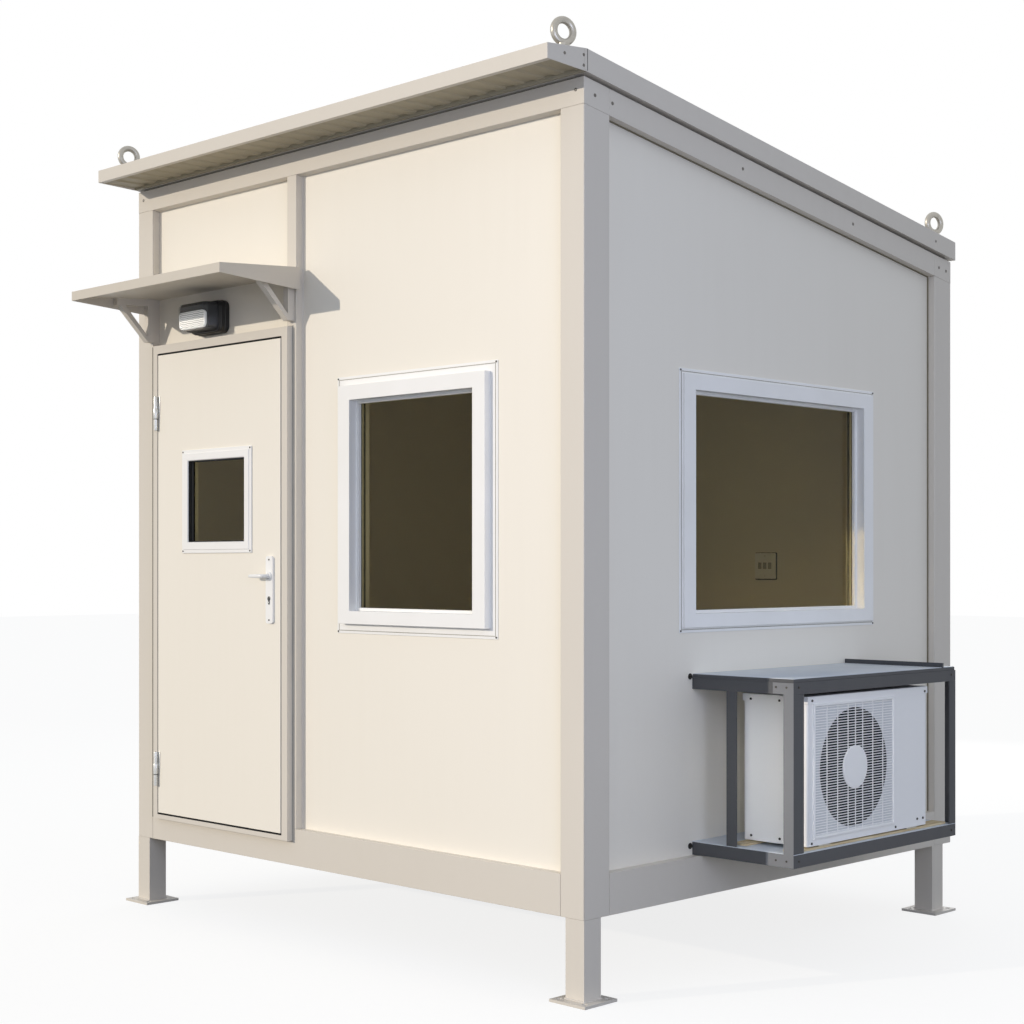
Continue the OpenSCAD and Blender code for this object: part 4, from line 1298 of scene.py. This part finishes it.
@dataclass
class BulkheadLamp:
    """Deep bulkhead lamp: black body, ribbed clear lens and a pale reflector low in its front,
    which paints the sunlight on the lens's lower part.
    """

    x: float = 513.0
    z: float = 2519.0
    wide: float = 215.0
    high: float = 138.0
    corner: float = 32.0
    corner_steps: int = 8
    wall_y: float = 35.0
    body_depth: float = 42.0
    lens_depth: float = 80.0
    lens_inset: float = 9.0
    core_inset: float = 16.0
    core_short: float = 12.0
    rings: int = 8
    pale_inset: float = 20.0
    # Top of the pale reflector over the lamp's middle: where the painted sunlight on the lens ends
    sunlit_up: float = 20.0
    pale_corner: float = 14.0
    bars: int = 9
    bar_inset: float = 6.0
    bar_wave: float = 1.2
    bar_points: int = 9
    bar_size: Pair = (1.0, 0.9)

    def build(self, nodes: Nodes) -> None:
        """Builds the body, the lens and what shows through it."""
        side = front_side(self.wall_y)
        w, h = self.wide / 2, self.high / 2
        rect = (self.x - w, self.z - h, self.x + w, self.z + h)
        d, inset, steps = self.body_depth, self.core_inset, self.corner_steps
        front = d + self.lens_depth - self.core_short
        back = ((1.0, 0.0), (0.0, 1.5), (0.0, d * 0.45), (2.5, d * 0.5), (2.5, d - 3.0), (5.0, d))
        rim = ((5.0, d - 1.0), (5.0, d + 6.0), (7.5, d + 8.0), (8.6, d + 8.0), (8.6, d - 1.0))
        core = ((inset, d - 1.0), (inset, front - 14.0), (inset + 12.0, front))
        body = Shape()
        for profile, closed in ((back, False), (rim, True), (core, False)):
            body.slab(side, rect, self.corner, profile, steps, closed)
        body.place("lamp_body", BLACK_BODY, stands_for=("lamp_base",))
        self.lens(side, rect)
        self.reflector(side, rect, front)

    def lens(self, side: Side, rect: Rect) -> None:
        """Makes the clear shell, with rings pressed round it, over the lamp's outline."""
        depth, deep, inset = self.body_depth, self.lens_depth, self.lens_inset
        skin = [(inset, depth)]
        for i in range(self.rings):
            h = depth + 10.0 + i * (deep - 26.0) / self.rings
            lean = inset + 0.5 + i * 0.4
            skin += [(lean + 1.6, h), (lean, h + 2.4)]
        skin += [(inset + 6.0, depth + deep - 9.0), (inset + 15.0, depth + deep - 0.5)]
        shell = Shape()
        shell.slab(side, rect, self.corner, skin, self.corner_steps)
        shell.place("lamp_lens_clear", LENS_CLEAR, stands_for=("lamp_lens",), crease=50.0)

    def reflector(self, side: Side, rect: Rect, front: float) -> None:
        """Sets the pale reflector low in the lamp's front, crossed by fine dark ribs: a reflector,
        pale only in the lower part, which paints the sunlight below the canopy's shadow.

        Args:
            side: Wall that carries the lamp.
            rect: Outline of the lamp.
            front: Height of the black core's front out of the wall.
        """
        inset = self.pale_inset
        a0, b0, a1, b1 = rect[0] + inset, rect[1] + inset, rect[2] - inset, self.z + self.sunlit_up
        panel, lines = Shape(), Shape()
        profile = ((2.0, front - 14.0), (0.0, front - 1.0), (1.5, front + 2.0))
        panel.slab(side, (a0, b0, a1, b1), self.pale_corner, profile)
        panel.place("lamp_reflector", WHITE_FRAME)
        gap, last = self.bar_inset, self.bar_points - 1
        step = (b1 - b0 - 2 * gap) / (self.bars - 1)
        for i in range(self.bars):
            path = []
            for k in range(self.bar_points):
                a = a0 + gap + (a1 - a0 - 2 * gap) * k / last
                wave = self.bar_wave if k % 2 else -self.bar_wave
                path.append(side.at(a, b0 + gap + i * step + wave, front + 2.0))
            lines.sweep(path, [self.bar_size] * self.bar_points, steps=6)
        lines.place("lamp_reflector_ribs", BLACK_BODY)


@dataclass
class Doorway:
    """Door frame, leaf, hinges, vision panel and lever set."""

    gap: Rect = (186.0, 402.0, 1050.0, 2392.0)
    frame: Rect = (149.0, 383.0, 1087.0, 2428.0)
    stop_y: float = 0.0
    leaf_y: float = -28.0
    inner_y: float = 14.0
    seal: Section = ((0.6, 0.0), (0.6, 3.2), (2.5, 4.2), (16.0, 4.2), (20.0, 2.0), (20.0, 0.0))
    sealant: Section = ((1.0, 0.0), (0.0, 4.0), (-4.5, 0.8), (-5.0, 0.0))
    vision: Rect = (424.0, 1576.0, 814.0, 1919.0)
    vision_trim: Rect = (378.0, 1530.0, 860.0, 1965.0)
    gasket: Section = ((-3.0, 0.0), (-3.0, 4.0), (1.5, 5.0), (5.0, 1.5), (5.0, 0.0))
    step: Section = ((14.0, -0.5), (14.0, 1.6), (15.5, 3.0), (43.0, 3.0), (45.0, 1.0), (45.0, -0.5))
    trim_y: float = -34.0
    trim_screw: float = 8.0
    glass_y: Pair = (-10.0, -4.0)
    lever_x: float = 982.0
    lever_z: float = 1435.0
    rose: Section = ((18.0, -0.5), (18.0, 4.0), (15.5, 7.0), (11.0, 7.5), (11.0, -0.5))
    spindle: float = 4.0
    key_z: float = 1345.0
    plate_z: Pair = (1245.0, 1515.0)
    plate_t: float = 9.0
    plate_screw: float = 14.0
    grip_out: float = -71.0
    grip_in: float = 57.0
    grip_long: float = 92.0
    hinge_x: float = 189.0
    hinge_y: float = -38.5
    hinge_wing: Pair = (3.2, 18.0)
    wing_t: float = 2.6
    hinge_z: tuple[Pair, ...] = ((525.0, 673.0), (2060.0, 2208.0))

    def build(self, nodes: Nodes) -> None:
        """Dresses the door and adds its seal, gaskets, hinges, lever, cylinder and screws."""
        dress(nodes, ("door_frame",), FRAME_PAINT, 1.2)
        dress(nodes, ("door_leaf",), PANEL_SKIN, 1.2)
        dress(nodes, ("door_window_trim",), WHITE_FRAME, 1.5)
        dress(nodes, ("handle_plates",), WHITE_FRAME, 2.0)
        dress(nodes, ("door_window_glass",), BRONZE_GLASS)
        self.seals()
        self.vision_trims()
        self.hinges()
        self.lever()
        self.cylinder()
        self.screws(nodes)

    def seals(self) -> None:
        """Lines the gap round the leaf with black rubber and runs sealant round the frame; the
        rubber on the reveal's faces, the grey sealant and a dark line on the jamb's edge also paint
        shade.
        """
        rubber, bead, line = Shape(), Shape(), Shape()
        stop = front_side(self.stop_y)
        deep = self.stop_y - self.leaf_y - 2.0
        rubber.frame_loop(stop, self.gap, self.seal)
        # Black rubber over the reveal's faces: partly the gap's gasket, partly painted shade where
        # the sun would light the reveal
        rubber.frame_loop(stop, self.gap, corners((0.05, 1.0, 1.3, deep)))
        rubber.place("door_seal", GASKET_AND_SHADE)
        # Grey sealant round the frame, which also paints the thin shadow along the frame's edge
        bead.frame_loop(front_side(0.0), self.frame, self.sealant)
        bead.place("door_frame_sealant", SEALANT_AND_SHADE)
        # A dark strip on the jamb's left edge paints the shade in the joint between the corner post
        # and the frame
        edge, low, _, high = self.frame
        slip = corners((edge, low + 4.0, edge + 5.0, high - 4.0))
        line.plate(front_side(self.leaf_y), slip, -SINK, 0.5)
        line.place("door_frame_edge_shade_line", JOINT_FOAM_AND_SHADE)

    def vision_trims(self) -> None:
        """Seats the vision panel's glass in black rubber, with the trims' stepped edge."""
        rubber, step = Shape(), Shape()
        outside = front_side(self.glass_y[0])
        for side in (outside, back_side(self.glass_y[1])):
            rubber.frame_loop(side, self.vision, self.gasket)
        deep = self.glass_y[0] - self.trim_y - 1.5
        rubber.frame_loop(outside, self.vision, corners((0.05, 0.0, 1.4, deep)))
        rubber.place("vision_gasket", GASKET_AND_SHADE, Body.DOOR)
        face = front_side(self.trim_y)
        step.frame_loop(face, self.vision_trim, self.step)
        step.place("vision_trim_step", WHITE_FRAME, Body.DOOR)
        heads = Fixings("vision_screws", DARK_SCREW, Head.PAN, 7.0, 1.6, Body.DOOR)
        a0, b0, a1, b1 = self.vision_trim
        for b in (b0 + self.trim_screw, b1 - self.trim_screw):
            for a in (a0 + self.trim_screw, a1 - self.trim_screw):
                heads.pin(face, a, b)
        heads.build()

    def hinges(self) -> None:
        """Turns the slim hinge barrels with their middle collar, lays the narrow wings, and puts a
        black ring of painted shade under each collar.
        """
        fixed, moving, ring, jamb, leaf = (Shape() for _ in range(5))
        ground = top_side(0.0)
        x, y, face = self.hinge_x, self.hinge_y, self.leaf_y
        near, far = self.hinge_wing
        for low, high in self.hinge_z:
            mid = (low + high) / 2
            end, start = mid - 0.6, mid + 0.4
            lower = ((5.0, low), (8.6, low + 1.5), (9.0, low + 4.0), (9.0, end), (5.0, end))
            upper = ((5.0, start), (9.0, start), (9.0, high - 4.0), (8.4, high - 1.0), (5.0, high))
            fixed.lathe(ground, x, y, lower)
            moving.lathe(ground, x, y, upper)
            outer = ((9.4, -22.0), (10.0, -22.0), (10.4, -21.0), (10.4, 21.0), (10.0, 22.0))
            collar = (*outer, (8.9, 22.0), (8.9, 1.0), (9.4, 0.0))
            for shape, profile in ((moving, collar), (ring, corners((8.9, -26.0, 9.8, -23.0)))):
                raised = [(r, mid + h) for r, h in profile]
                shape.lathe(ground, x, y, raised, closed=True)
            jamb.box((x - far, face - self.wing_t, low), (x - near, face, end), 0.6)
            leaf.box((x + near, face - self.wing_t, start), (x + far, face, high), 0.6)
        fixed.place("hinge_fixed_barrels", BRIGHT_ZINC, stands_for=("hinge_pins",))
        moving.place("hinge_door_barrels", BRIGHT_ZINC, Body.DOOR, ("hinge_knuckles",))
        # A black ring under each collar paints the shade that the collar casts
        ring.place("hinge_painted_shade_rings", GASKET_AND_SHADE)
        jamb.place("hinge_jamb_wings", BRIGHT_ZINC)
        leaf.place("hinge_leaf_wings", BRIGHT_ZINC, Body.DOOR)

    def plate_faces(self) -> tuple[float, float]:
        """Gives the depth of the outer and the inner handle plate's face."""
        return (self.leaf_y - self.plate_t, self.inner_y + self.plate_t)

    def lever(self) -> None:
        """Makes the two tapered levers on one spindle, and the roses that they turn in."""
        shape, rose = Shape(), Shape()
        outer, inner = self.plate_faces()
        x, z, long, half = self.lever_x, self.lever_z, self.grip_long, self.spindle
        for side, face, grip, way in (
            (front_side(outer), outer, self.grip_out, -1.0),
            (back_side(inner), inner, self.grip_in, 1.0),
        ):
            # Along the lever, depth, and half widths across and up
            line = (
                (0.0, face + way * 0.5, 10.0, 10.0),
                (0.0, face + way * 9.0, 9.4, 9.4),
                (0.0, face + way * 11.0, 8.0, 8.0),
                (0.0, grip - way * 13.0, 7.8, 7.8),
                (-3.5, grip - way * 4.0, 7.8, 8.2),
                (-11.0, grip, 7.4, 8.6),
                (-28.0, grip, 6.4, 8.2),
                (-56.0, grip, 5.6, 7.4),
                (-long + 10.0, grip - way * 1.0, 5.2, 6.8),
                (-long + 3.0, grip - way * 1.5, 4.4, 5.8),
                (-long, grip - way * 1.5, 2.4, 3.4),
            )
            path = [at(x + dx, y, z) for dx, y, _, _ in line]
            shape.sweep(path, [(wide, high) for _, _, wide, high in line], steps=18)
            rose.lathe(side, x, z, self.rose, 32, closed=True)
        shape.box((x - half, outer, z - half), (x + half, inner, z + half), 0.4)
        levers = ("door_lever",)
        shape.place("lever_handles", LEVER_ENAMEL, Body.LEVER, levers, crease=40.0)
        rose.place("lever_roses", WHITE_FRAME, Body.DOOR)

    def cylinder(self) -> None:
        """Sets the dark key cylinder, round above and narrow below, in both plates."""
        dark, plug = Shape(), Shape()
        x, z = self.lever_x, self.key_z
        round_top = (x - 8.5, z - 9.0, x + 8.5, z + 9.0)
        narrow = (x - 5.0, z - 24.0, x + 5.0, z - 4.0)
        outer, inner = self.plate_faces()
        for side in (front_side(outer), back_side(inner)):
            dark.slab(side, round_top, 8.4, ((0.0, -SINK), (0.0, 1.6), (1.0, 2.2)))
            dark.slab(side, narrow, 4.8, ((0.0, -SINK), (0.0, 1.5), (1.0, 2.1)))
            plug.lathe(side, x, z - 15.0, ((3.2, 1.0), (3.2, 2.6), (2.4, 3.2), (0.4, 3.2)))
        dark.place("key_cylinders", BLACK_BODY, Body.DOOR)
        plug.place("key_plugs", BRIGHT_ZINC, Body.DOOR)

    def screws(self, nodes: Nodes) -> None:
        """Sets the screws of the lever plates."""
        heads = Fixings("handle_screws", DARK_SCREW, Head.PAN, 7.0, 1.8, Body.DOOR)
        plates = Surface(nodes["handle_plates"])
        low, high = self.plate_z
        for z in (low + self.plate_screw, high - self.plate_screw):
            heads.on(plates, (self.lever_x, -OUTSIDE, z), BACK)
            heads.on(plates, (self.lever_x, OUTSIDE, z), FORWARD)
        heads.build()


@dataclass
class WindowUnit:
    """Fixed window: white profile with glazing gaskets, glazing bars and flange screws."""

    name: str
    outside: Side
    inside: Side
    opening: Rect
    flange: Rect
    rim: Side
    gasket: Section = ((-4.0, 0.0), (-4.0, 6.0), (2.0, 7.0), (6.5, 2.0), (6.5, 0.0))
    bar: Section = ((0.05, 0.5), (0.05, 26.0), (1.5, 26.0), (6.0, 8.0), (6.0, 0.5))
    sealant: Section = corners((10.0, -SINK, 13.0, 0.7))
    screw_in: float = 7.0

    def build(self, nodes: Nodes) -> None:
        """Dresses the window and adds gaskets, bars, screws and sealant."""
        frame = f"{self.name}_frame"
        dress(nodes, (frame,), WHITE_FRAME, 1.8)
        dress(nodes, (f"{self.name}_glass",), BRONZE_GLASS)
        rubber, bars, line = Shape(), Shape(), Shape()
        rubber.frame_loop(self.outside, self.opening, self.gasket)
        rubber.frame_loop(self.inside, self.opening, self.gasket)
        rubber.place(f"{self.name}_gaskets", GASKET_AND_SHADE)
        # Grey glazing bars inside the pane, darker than the white profile so that they also paint
        # the shade in the reveal near the glass
        bars.frame_loop(self.inside, self.opening, self.bar)
        bars.place(f"{self.name}_glazing_bars", GLAZING_BAR_AND_SHADE)
        heads = Fixings(f"{self.name}_flange_screws", DARK_SCREW, Head.PAN, 7.0, 2.0)
        surface = Surface(nodes[frame])
        a0, b0, a1, b1 = self.flange
        for a in (a0 + self.screw_in, a1 - self.screw_in):
            for b in (b0 + self.screw_in, b1 - self.screw_in):
                heads.add(*surface.meet(self.outside.at(a, b, OUTSIDE), -self.outside.aim))
        heads.build()
        # A grey sealant line on the flange, which also paints the thin shadow of the flange's
        # raised lip
        line.frame_loop(self.rim, self.flange, self.sealant)
        line.place(f"{self.name}_sealant", SEALANT_AND_SHADE)


@dataclass
class Condenser:
    """Outdoor unit: painted housing, slatted guard over a dark fan recess, lid, feet and screws."""

    face_x: float = 3043.0
    back_x: float = 2765.0
    left_y: float = 728.0
    right_y: float = 1508.0
    high_z: float = 1018.0
    guard: Rect = (758.0, 517.0, 1278.0, 993.0)
    rim: Section = ((0.0, 0.0), (0.0, 5.0), (2.0, 7.0), (9.0, 7.0), (11.0, 4.0), (11.0, 0.0))
    inner: float = 10.0
    fan_y: float = 1017.0
    fan_z: float = 752.0
    fan_d: float = 430.0
    recess: float = 90.0
    hub_d: float = 155.0
    slat_pitch: float = 9.5
    slat_high: float = 3.0
    slat_deep: float = 3.2
    bar_wide: float = 2.6
    bar_back: float = 0.4
    bar_offsets: tuple[float, ...] = (-173.0, -107.0, -41.0, 6.0, 53.0, 119.0, 185.0)
    sheet_in: float = 6.0
    sheet_lift: Pair = (0.1, 0.5)
    sheet_steps: int = 120
    lid_proud: float = 2.0
    lid_drop: float = 26.0
    # Screws above this height sit on the lid's edge
    lid_low: float = 990.0
    face_screws: Section = (
        (752.0, 1004.0),
        (1490.0, 1000.0),
        (752.0, 503.0),
        (1290.0, 505.0),
        (1440.0, 520.0),
        (1480.0, 520.0),
    )
    left_screws: Section = ((2925.0, 1000.0), (2925.0, 510.0), (2800.0, 510.0), (2800.0, 1000.0))

    def build(self, nodes: Nodes) -> None:
        """Dresses the unit and adds the guard, recess lining, lid seam and screws."""
        dress(nodes, ("condenser_housing",), UNIT_PAINT, 2.5)
        dress(nodes, ("condenser_feet",), ZINC, 0.8)
        dress(nodes, ("timber_bearers",), BEARER_WOOD, 1.5)
        side = right_side(self.face_x)
        self.slats()
        self.backing(side)
        trim, cup = Shape(), Shape()
        y, z, r, floor = self.fan_y, self.fan_z, self.fan_d / 2, -self.recess
        trim.frame_loop(side, self.guard, self.rim)
        n = self.hub_d / 2
        hub = ((n, 2.0), (n, 6.0), (n - 2.0, 7.4), (n * 0.5, 8.0), (1.0, 8.2))
        trim.lathe(side, y, z, hub, 40)
        trim.place("guard_frame_and_hub", UNIT_PAINT)
        wall = ((r - 0.3, -SINK), (r - 0.3, floor + 0.4), (r - 2.5, floor + 0.4), (r - 2.5, -SINK))
        cup.lathe(side, y, z, wall, 48, closed=True)
        cup.lathe(side, y, z, ((r - 2.0, floor + 0.3), (r - 2.0, floor + 2.0)), 48)
        cup.place("fan_recess_lining", UNIT_DARK)
        self.casing()

    def slats(self) -> None:
        """Grows the guard's slats and bars with Geometry Nodes."""
        name = "guard_slats"
        y0, z0, y1, z1 = self.guard
        rows = int((z1 - z0 - 2 * self.inner) / self.slat_pitch)
        first = z0 + (z1 - z0 - (rows - 1) * self.slat_pitch) / 2
        mid_x = self.face_x + self.slat_deep / 2 + SINK
        mid_y, mid_z = (y0 + y1) / 2, (z0 + z1) / 2
        deep = self.slat_deep * MM
        vectors = {
            "First Row": tuple(at(mid_x, mid_y, first)),
            "Row Step": (0.0, 0.0, self.slat_pitch * MM),
            "Row Size": (deep, (y1 - y0 - self.inner) * MM, self.slat_high * MM),
            "Bar Size": (deep, self.bar_wide * MM, (z1 - z0 - self.inner) * MM),
        }
        inputs = {label: ("Vector", value) for label, value in vectors.items()}
        growth = Growth(name, UNIT_PAINT, {"Rows": ("Int", rows), **inputs})
        given = growth.given
        steps = {"Start Location": given["First Row"], "Offset": given["Row Step"]}
        line = growth.add("MeshLine", {"Count": given["Rows"], **steps})
        spread = []
        for points, size in ((line, "Row Size"), (given["Seed"], "Bar Size")):
            bar = growth.add("MeshCube", {"Size": given[size]})
            spread.append(growth.add("InstanceOnPoints", {"Points": points, "Instance": bar}))
        bar_x = mid_x - self.bar_back
        spots = [tuple(at(bar_x, self.fan_y + gap, mid_z)) for gap in self.bar_offsets]
        seed = bpy.data.meshes.new("guard bar spots")
        seed.from_pydata(spots, [], [])
        data = growth.run(growth.join(spread), seed)
        settle(name, data, UNIT_PAINT, stands_for=("condenser_guard",))

    def backing(self, side: Side) -> None:
        """Lays a greyer sheet behind the slats on the unit's face, open over the fan, that paints
        the shade between the slats.
        """
        n = self.sheet_in
        y0, z0, y1, z1 = (edge + gap for edge, gap in zip(self.guard, (n, n, -n, -n)))
        hole, edge = [], []
        for c, s in circle(self.sheet_steps, 0.5):
            wide = ((y1 if c > 0 else y0) - self.fan_y) / c
            high = ((z1 if s > 0 else z0) - self.fan_z) / s
            for line, reach in ((hole, self.fan_d / 2), (edge, min(wide, high))):
                line.append((self.fan_y + reach * c, self.fan_z + reach * s))
        low, top = self.sheet_lift
        levels = ((hole, low), (edge, low), (edge, top), (hole, top))
        sheet = Shape()
        rings = [[side.at(a, b, lift) for a, b in line] for line, lift in levels]
        sheet.loft(rings, closed=True)
        sheet.place("guard_painted_shade_sheet", GUARD_SHADE)

    def casing(self) -> None:
        """Adds the lid's turned-down edge and the casing screws."""
        lid = Shape()
        n, drop = self.lid_proud, self.lid_drop
        outer = (self.back_x - n, self.left_y - n, self.face_x + n, self.right_y + n)
        over = ((0.0, -drop), (0.0, -1.0), (1.2, 0.6), (26.0, 0.6), (26.0, 0.1))
        section = (*over, (n + 0.2, 0.1), (n - 0.1, -drop))
        lid.frame_loop(top_side(self.high_z), outer, section)
        lid.place("unit_lid_edge", UNIT_PAINT)
        heads = Fixings("unit_screws", DARK_SCREW, Head.PAN, 9.0, 2.6)
        face, left = right_side(self.face_x), front_side(self.left_y)
        for side, screws in ((face, self.face_screws), (left, self.left_screws)):
            for a, z in screws:
                heads.pin(side, a, z, n if z > self.lid_low else 0.0)
        heads.build()


@dataclass
class GuardCage:
    """Angle cage round the outdoor unit, with its cover sheet, screws and wall bolts."""

    wall_x: float = 2615.0
    front_x: float = 3061.0
    left_y: float = 621.0
    right_y: float = 1689.0
    low_z: Pair = (432.0, 478.0)
    high_z: Pair = (1031.0, 1073.0)
    cover_top: float = 1085.0
    cover_in: float = 5.0
    rail_y: Pair = (1597.0, 1607.0)
    bar: float = 44.0
    leg_more: float = 18.0
    # Length of the highlight plate along the corner, as far as the sun reaches past the booth's
    # shade
    highlight_long: float = 118.0
    plate_step: float = 30.0
    screw_z: Pair = (455.0, 1056.0)
    screw_in: float = 30.0
    second_in: float = 75.0
    bolt_out: float = 13.0

    def build(self, nodes: Nodes) -> None:
        """Dresses the cage and adds the cover's sheet, the screws and the wall bolts."""
        bars = ("cage_lower_frame", "cage_uprights", "cage_upper_frame", "cage_cover")
        dress(nodes, bars, CAGE_PAINT, 1.0)
        dress(nodes, ("cage_tray",), COVER_PAINT)
        self.sheet()
        self.corner()
        heads = Fixings("cage_screws", DARK_SCREW, Head.PAN, 8.0, 2.4)
        left, face, wall = (
            front_side(self.left_y),
            right_side(self.front_x),
            right_side(self.wall_x),
        )
        for z in self.screw_z:
            for gap in (self.second_in, self.screw_in):
                heads.pin(left, self.front_x - gap, z)
        for z in self.screw_z:
            for y in (self.left_y + self.screw_in, self.right_y - self.screw_in):
                heads.pin(face, y, z)
        heads.build()
        bolts = Fixings("cage_wall_bolts", DARK_SCREW, Head.HEX, 13.0, 8.0)
        for y in (self.left_y - self.bolt_out, self.right_y + self.bolt_out):
            for z in (self.low_z[1] - 14.0, self.high_z[1] + 4.0):
                bolts.pin(wall, y, z)
        bolts.build()

    def sheet(self) -> None:
        """Lays the pale cover sheet on both sides of the rail."""
        shape = Shape()
        n, (rail_left, rail_right) = self.cover_in, self.rail_y
        spans = ((self.left_y + n, rail_left - 0.5), (rail_right + 0.5, self.right_y - n))
        for y0, y1 in spans:
            low = (self.wall_x + 0.5, y0, self.cover_top - SINK)
            shape.box(low, (self.front_x - n, y1, self.cover_top + 1.5), 0.5)
        shape.place("cage_cover_sheet", COVER_PAINT)

    def corner(self) -> None:
        """Adds the front corner's second leg, and a lighter plate that paints the sun's highlight
        on the corner.
        """
        strap, plate = Shape(), Shape()
        (z0, z1), (z2, z3) = self.low_z, self.high_z
        x, edge = self.front_x, self.left_y + self.bar - 1.0
        strap.box((x - 5.0, edge, z1 + 0.5), (x - 0.5, edge + self.leg_more, z2 - 0.5), 0.6)
        strap.place("cage_corner_leg", CAGE_PAINT)
        x0, x1, inner = x - self.highlight_long, x - 1.0, x - self.bar + 1.0
        step = x0 + self.plate_step
        lower = ((x0, z0 + 1), (x1, z0 + 1), (x1, z3 - 1), (step, z3 - 1))
        upper = ((step, z2 + 1), (inner, z2 + 1), (inner, z1 - 1), (x0, z1 - 1))
        plate.plate(front_side(self.left_y), (*lower, *upper), -SINK, 1.0)
        plate.place("cage_corner_highlight_plate", CORNER_HIGHLIGHT_GREY)


@dataclass
class WallSwitch:
    """Switch plate on the back wall, seen through the side window."""

    x: float = 1753.0
    z: float = 1475.0
    half_wide: float = 57.0
    half_high: float = 59.0
    corner: float = 6.0
    face_y: float = 2230.0
    wall_y: float = 2240.0
    keys: tuple[float, ...] = (-28.0, 0.0, 28.0)
    key_half: float = 9.0
    screw_z: Pair = (-46.0, 46.0)

    def build(self, nodes: Nodes) -> None:
        """Makes the plate, a dark rim round it that reaches further right and down and paints its
        cast shadow, and the rockers and screws.
        """
        wall, face = front_side(self.wall_y), front_side(self.face_y)
        x, z, w, h = self.x, self.z, self.half_wide, self.half_high
        deep = self.wall_y - self.face_y
        plate, joint, keys = Shape(), Shape(), Shape()
        profile = ((0.0, 2.0), (0.0, deep - 2.0), (2.0, deep))
        plate.slab(wall, (x - w, z - h, x + w, z + h), self.corner, profile)
        plate.place("switch_faceplate", WHITE_FRAME, stands_for=("switch_plate",))
        # A dark rim, wider to the right and below, paints the switch plate's cast shadow
        rim = (x - w - 3.0, z - h - 6.0, x + w + 6.0, z + h + 3.0)
        joint.slab(wall, rim, self.corner, ((0.0, 0.0), (0.0, 1.5), (1.0, 2.5)))
        joint.place("switch_painted_shadow", JOINT_FOAM_AND_SHADE)
        for shift in self.keys:
            left, right = x + shift - self.key_half, x + shift + self.key_half
            rocker = ((0.0, -SINK), (0.0, 2.0), (1.5, 3.5))
            keys.slab(face, (left, z - 14.0, right, z + 16.0), 2.0, rocker)
        keys.place("switch_rockers", SEALANT_AND_SHADE)
        heads = Fixings("switch_screws", BRIGHT_ZINC, Head.PAN, 6.0, 1.6)
        for dz in self.screw_z:
            heads.pin(face, x, z + dz)
        heads.build()


FRONT_WINDOW = WindowUnit(
    name="front_window",
    outside=front_side(56.0),
    inside=back_side(62.0),
    opening=(1428.0, 1303.0, 2106.0, 2114.0),
    flange=(1325.0, 1215.0, 2209.0, 2209.0),
    rim=front_side(32.0),
)
SIDE_WINDOW = WindowUnit(
    name="side_window",
    outside=right_side(2577.0),
    inside=left_side(2571.0),
    opening=(627.0, 1303.0, 1717.0, 2114.0),
    flange=(544.0, 1235.0, 1800.0, 2189.0),
    rim=right_side(2618.0),
)


def main() -> None:
    """Loads the frame, builds the studio and every sub-assembly."""
    logging.basicConfig(level=logging.INFO, format="%(name)s: %(message)s")
    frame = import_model()
    Studio().build()
    assemblies = (
        Cabin(),
        Roof(),
        DoorCanopy(),
        BulkheadLamp(),
        Doorway(),
        FRONT_WINDOW,
        SIDE_WINDOW,
        Condenser(),
        GuardCage(),
        WallSwitch(),
    )
    for assembly in assemblies:
        assembly.build(frame["nodes"])


if __name__ == "__main__":
    main()
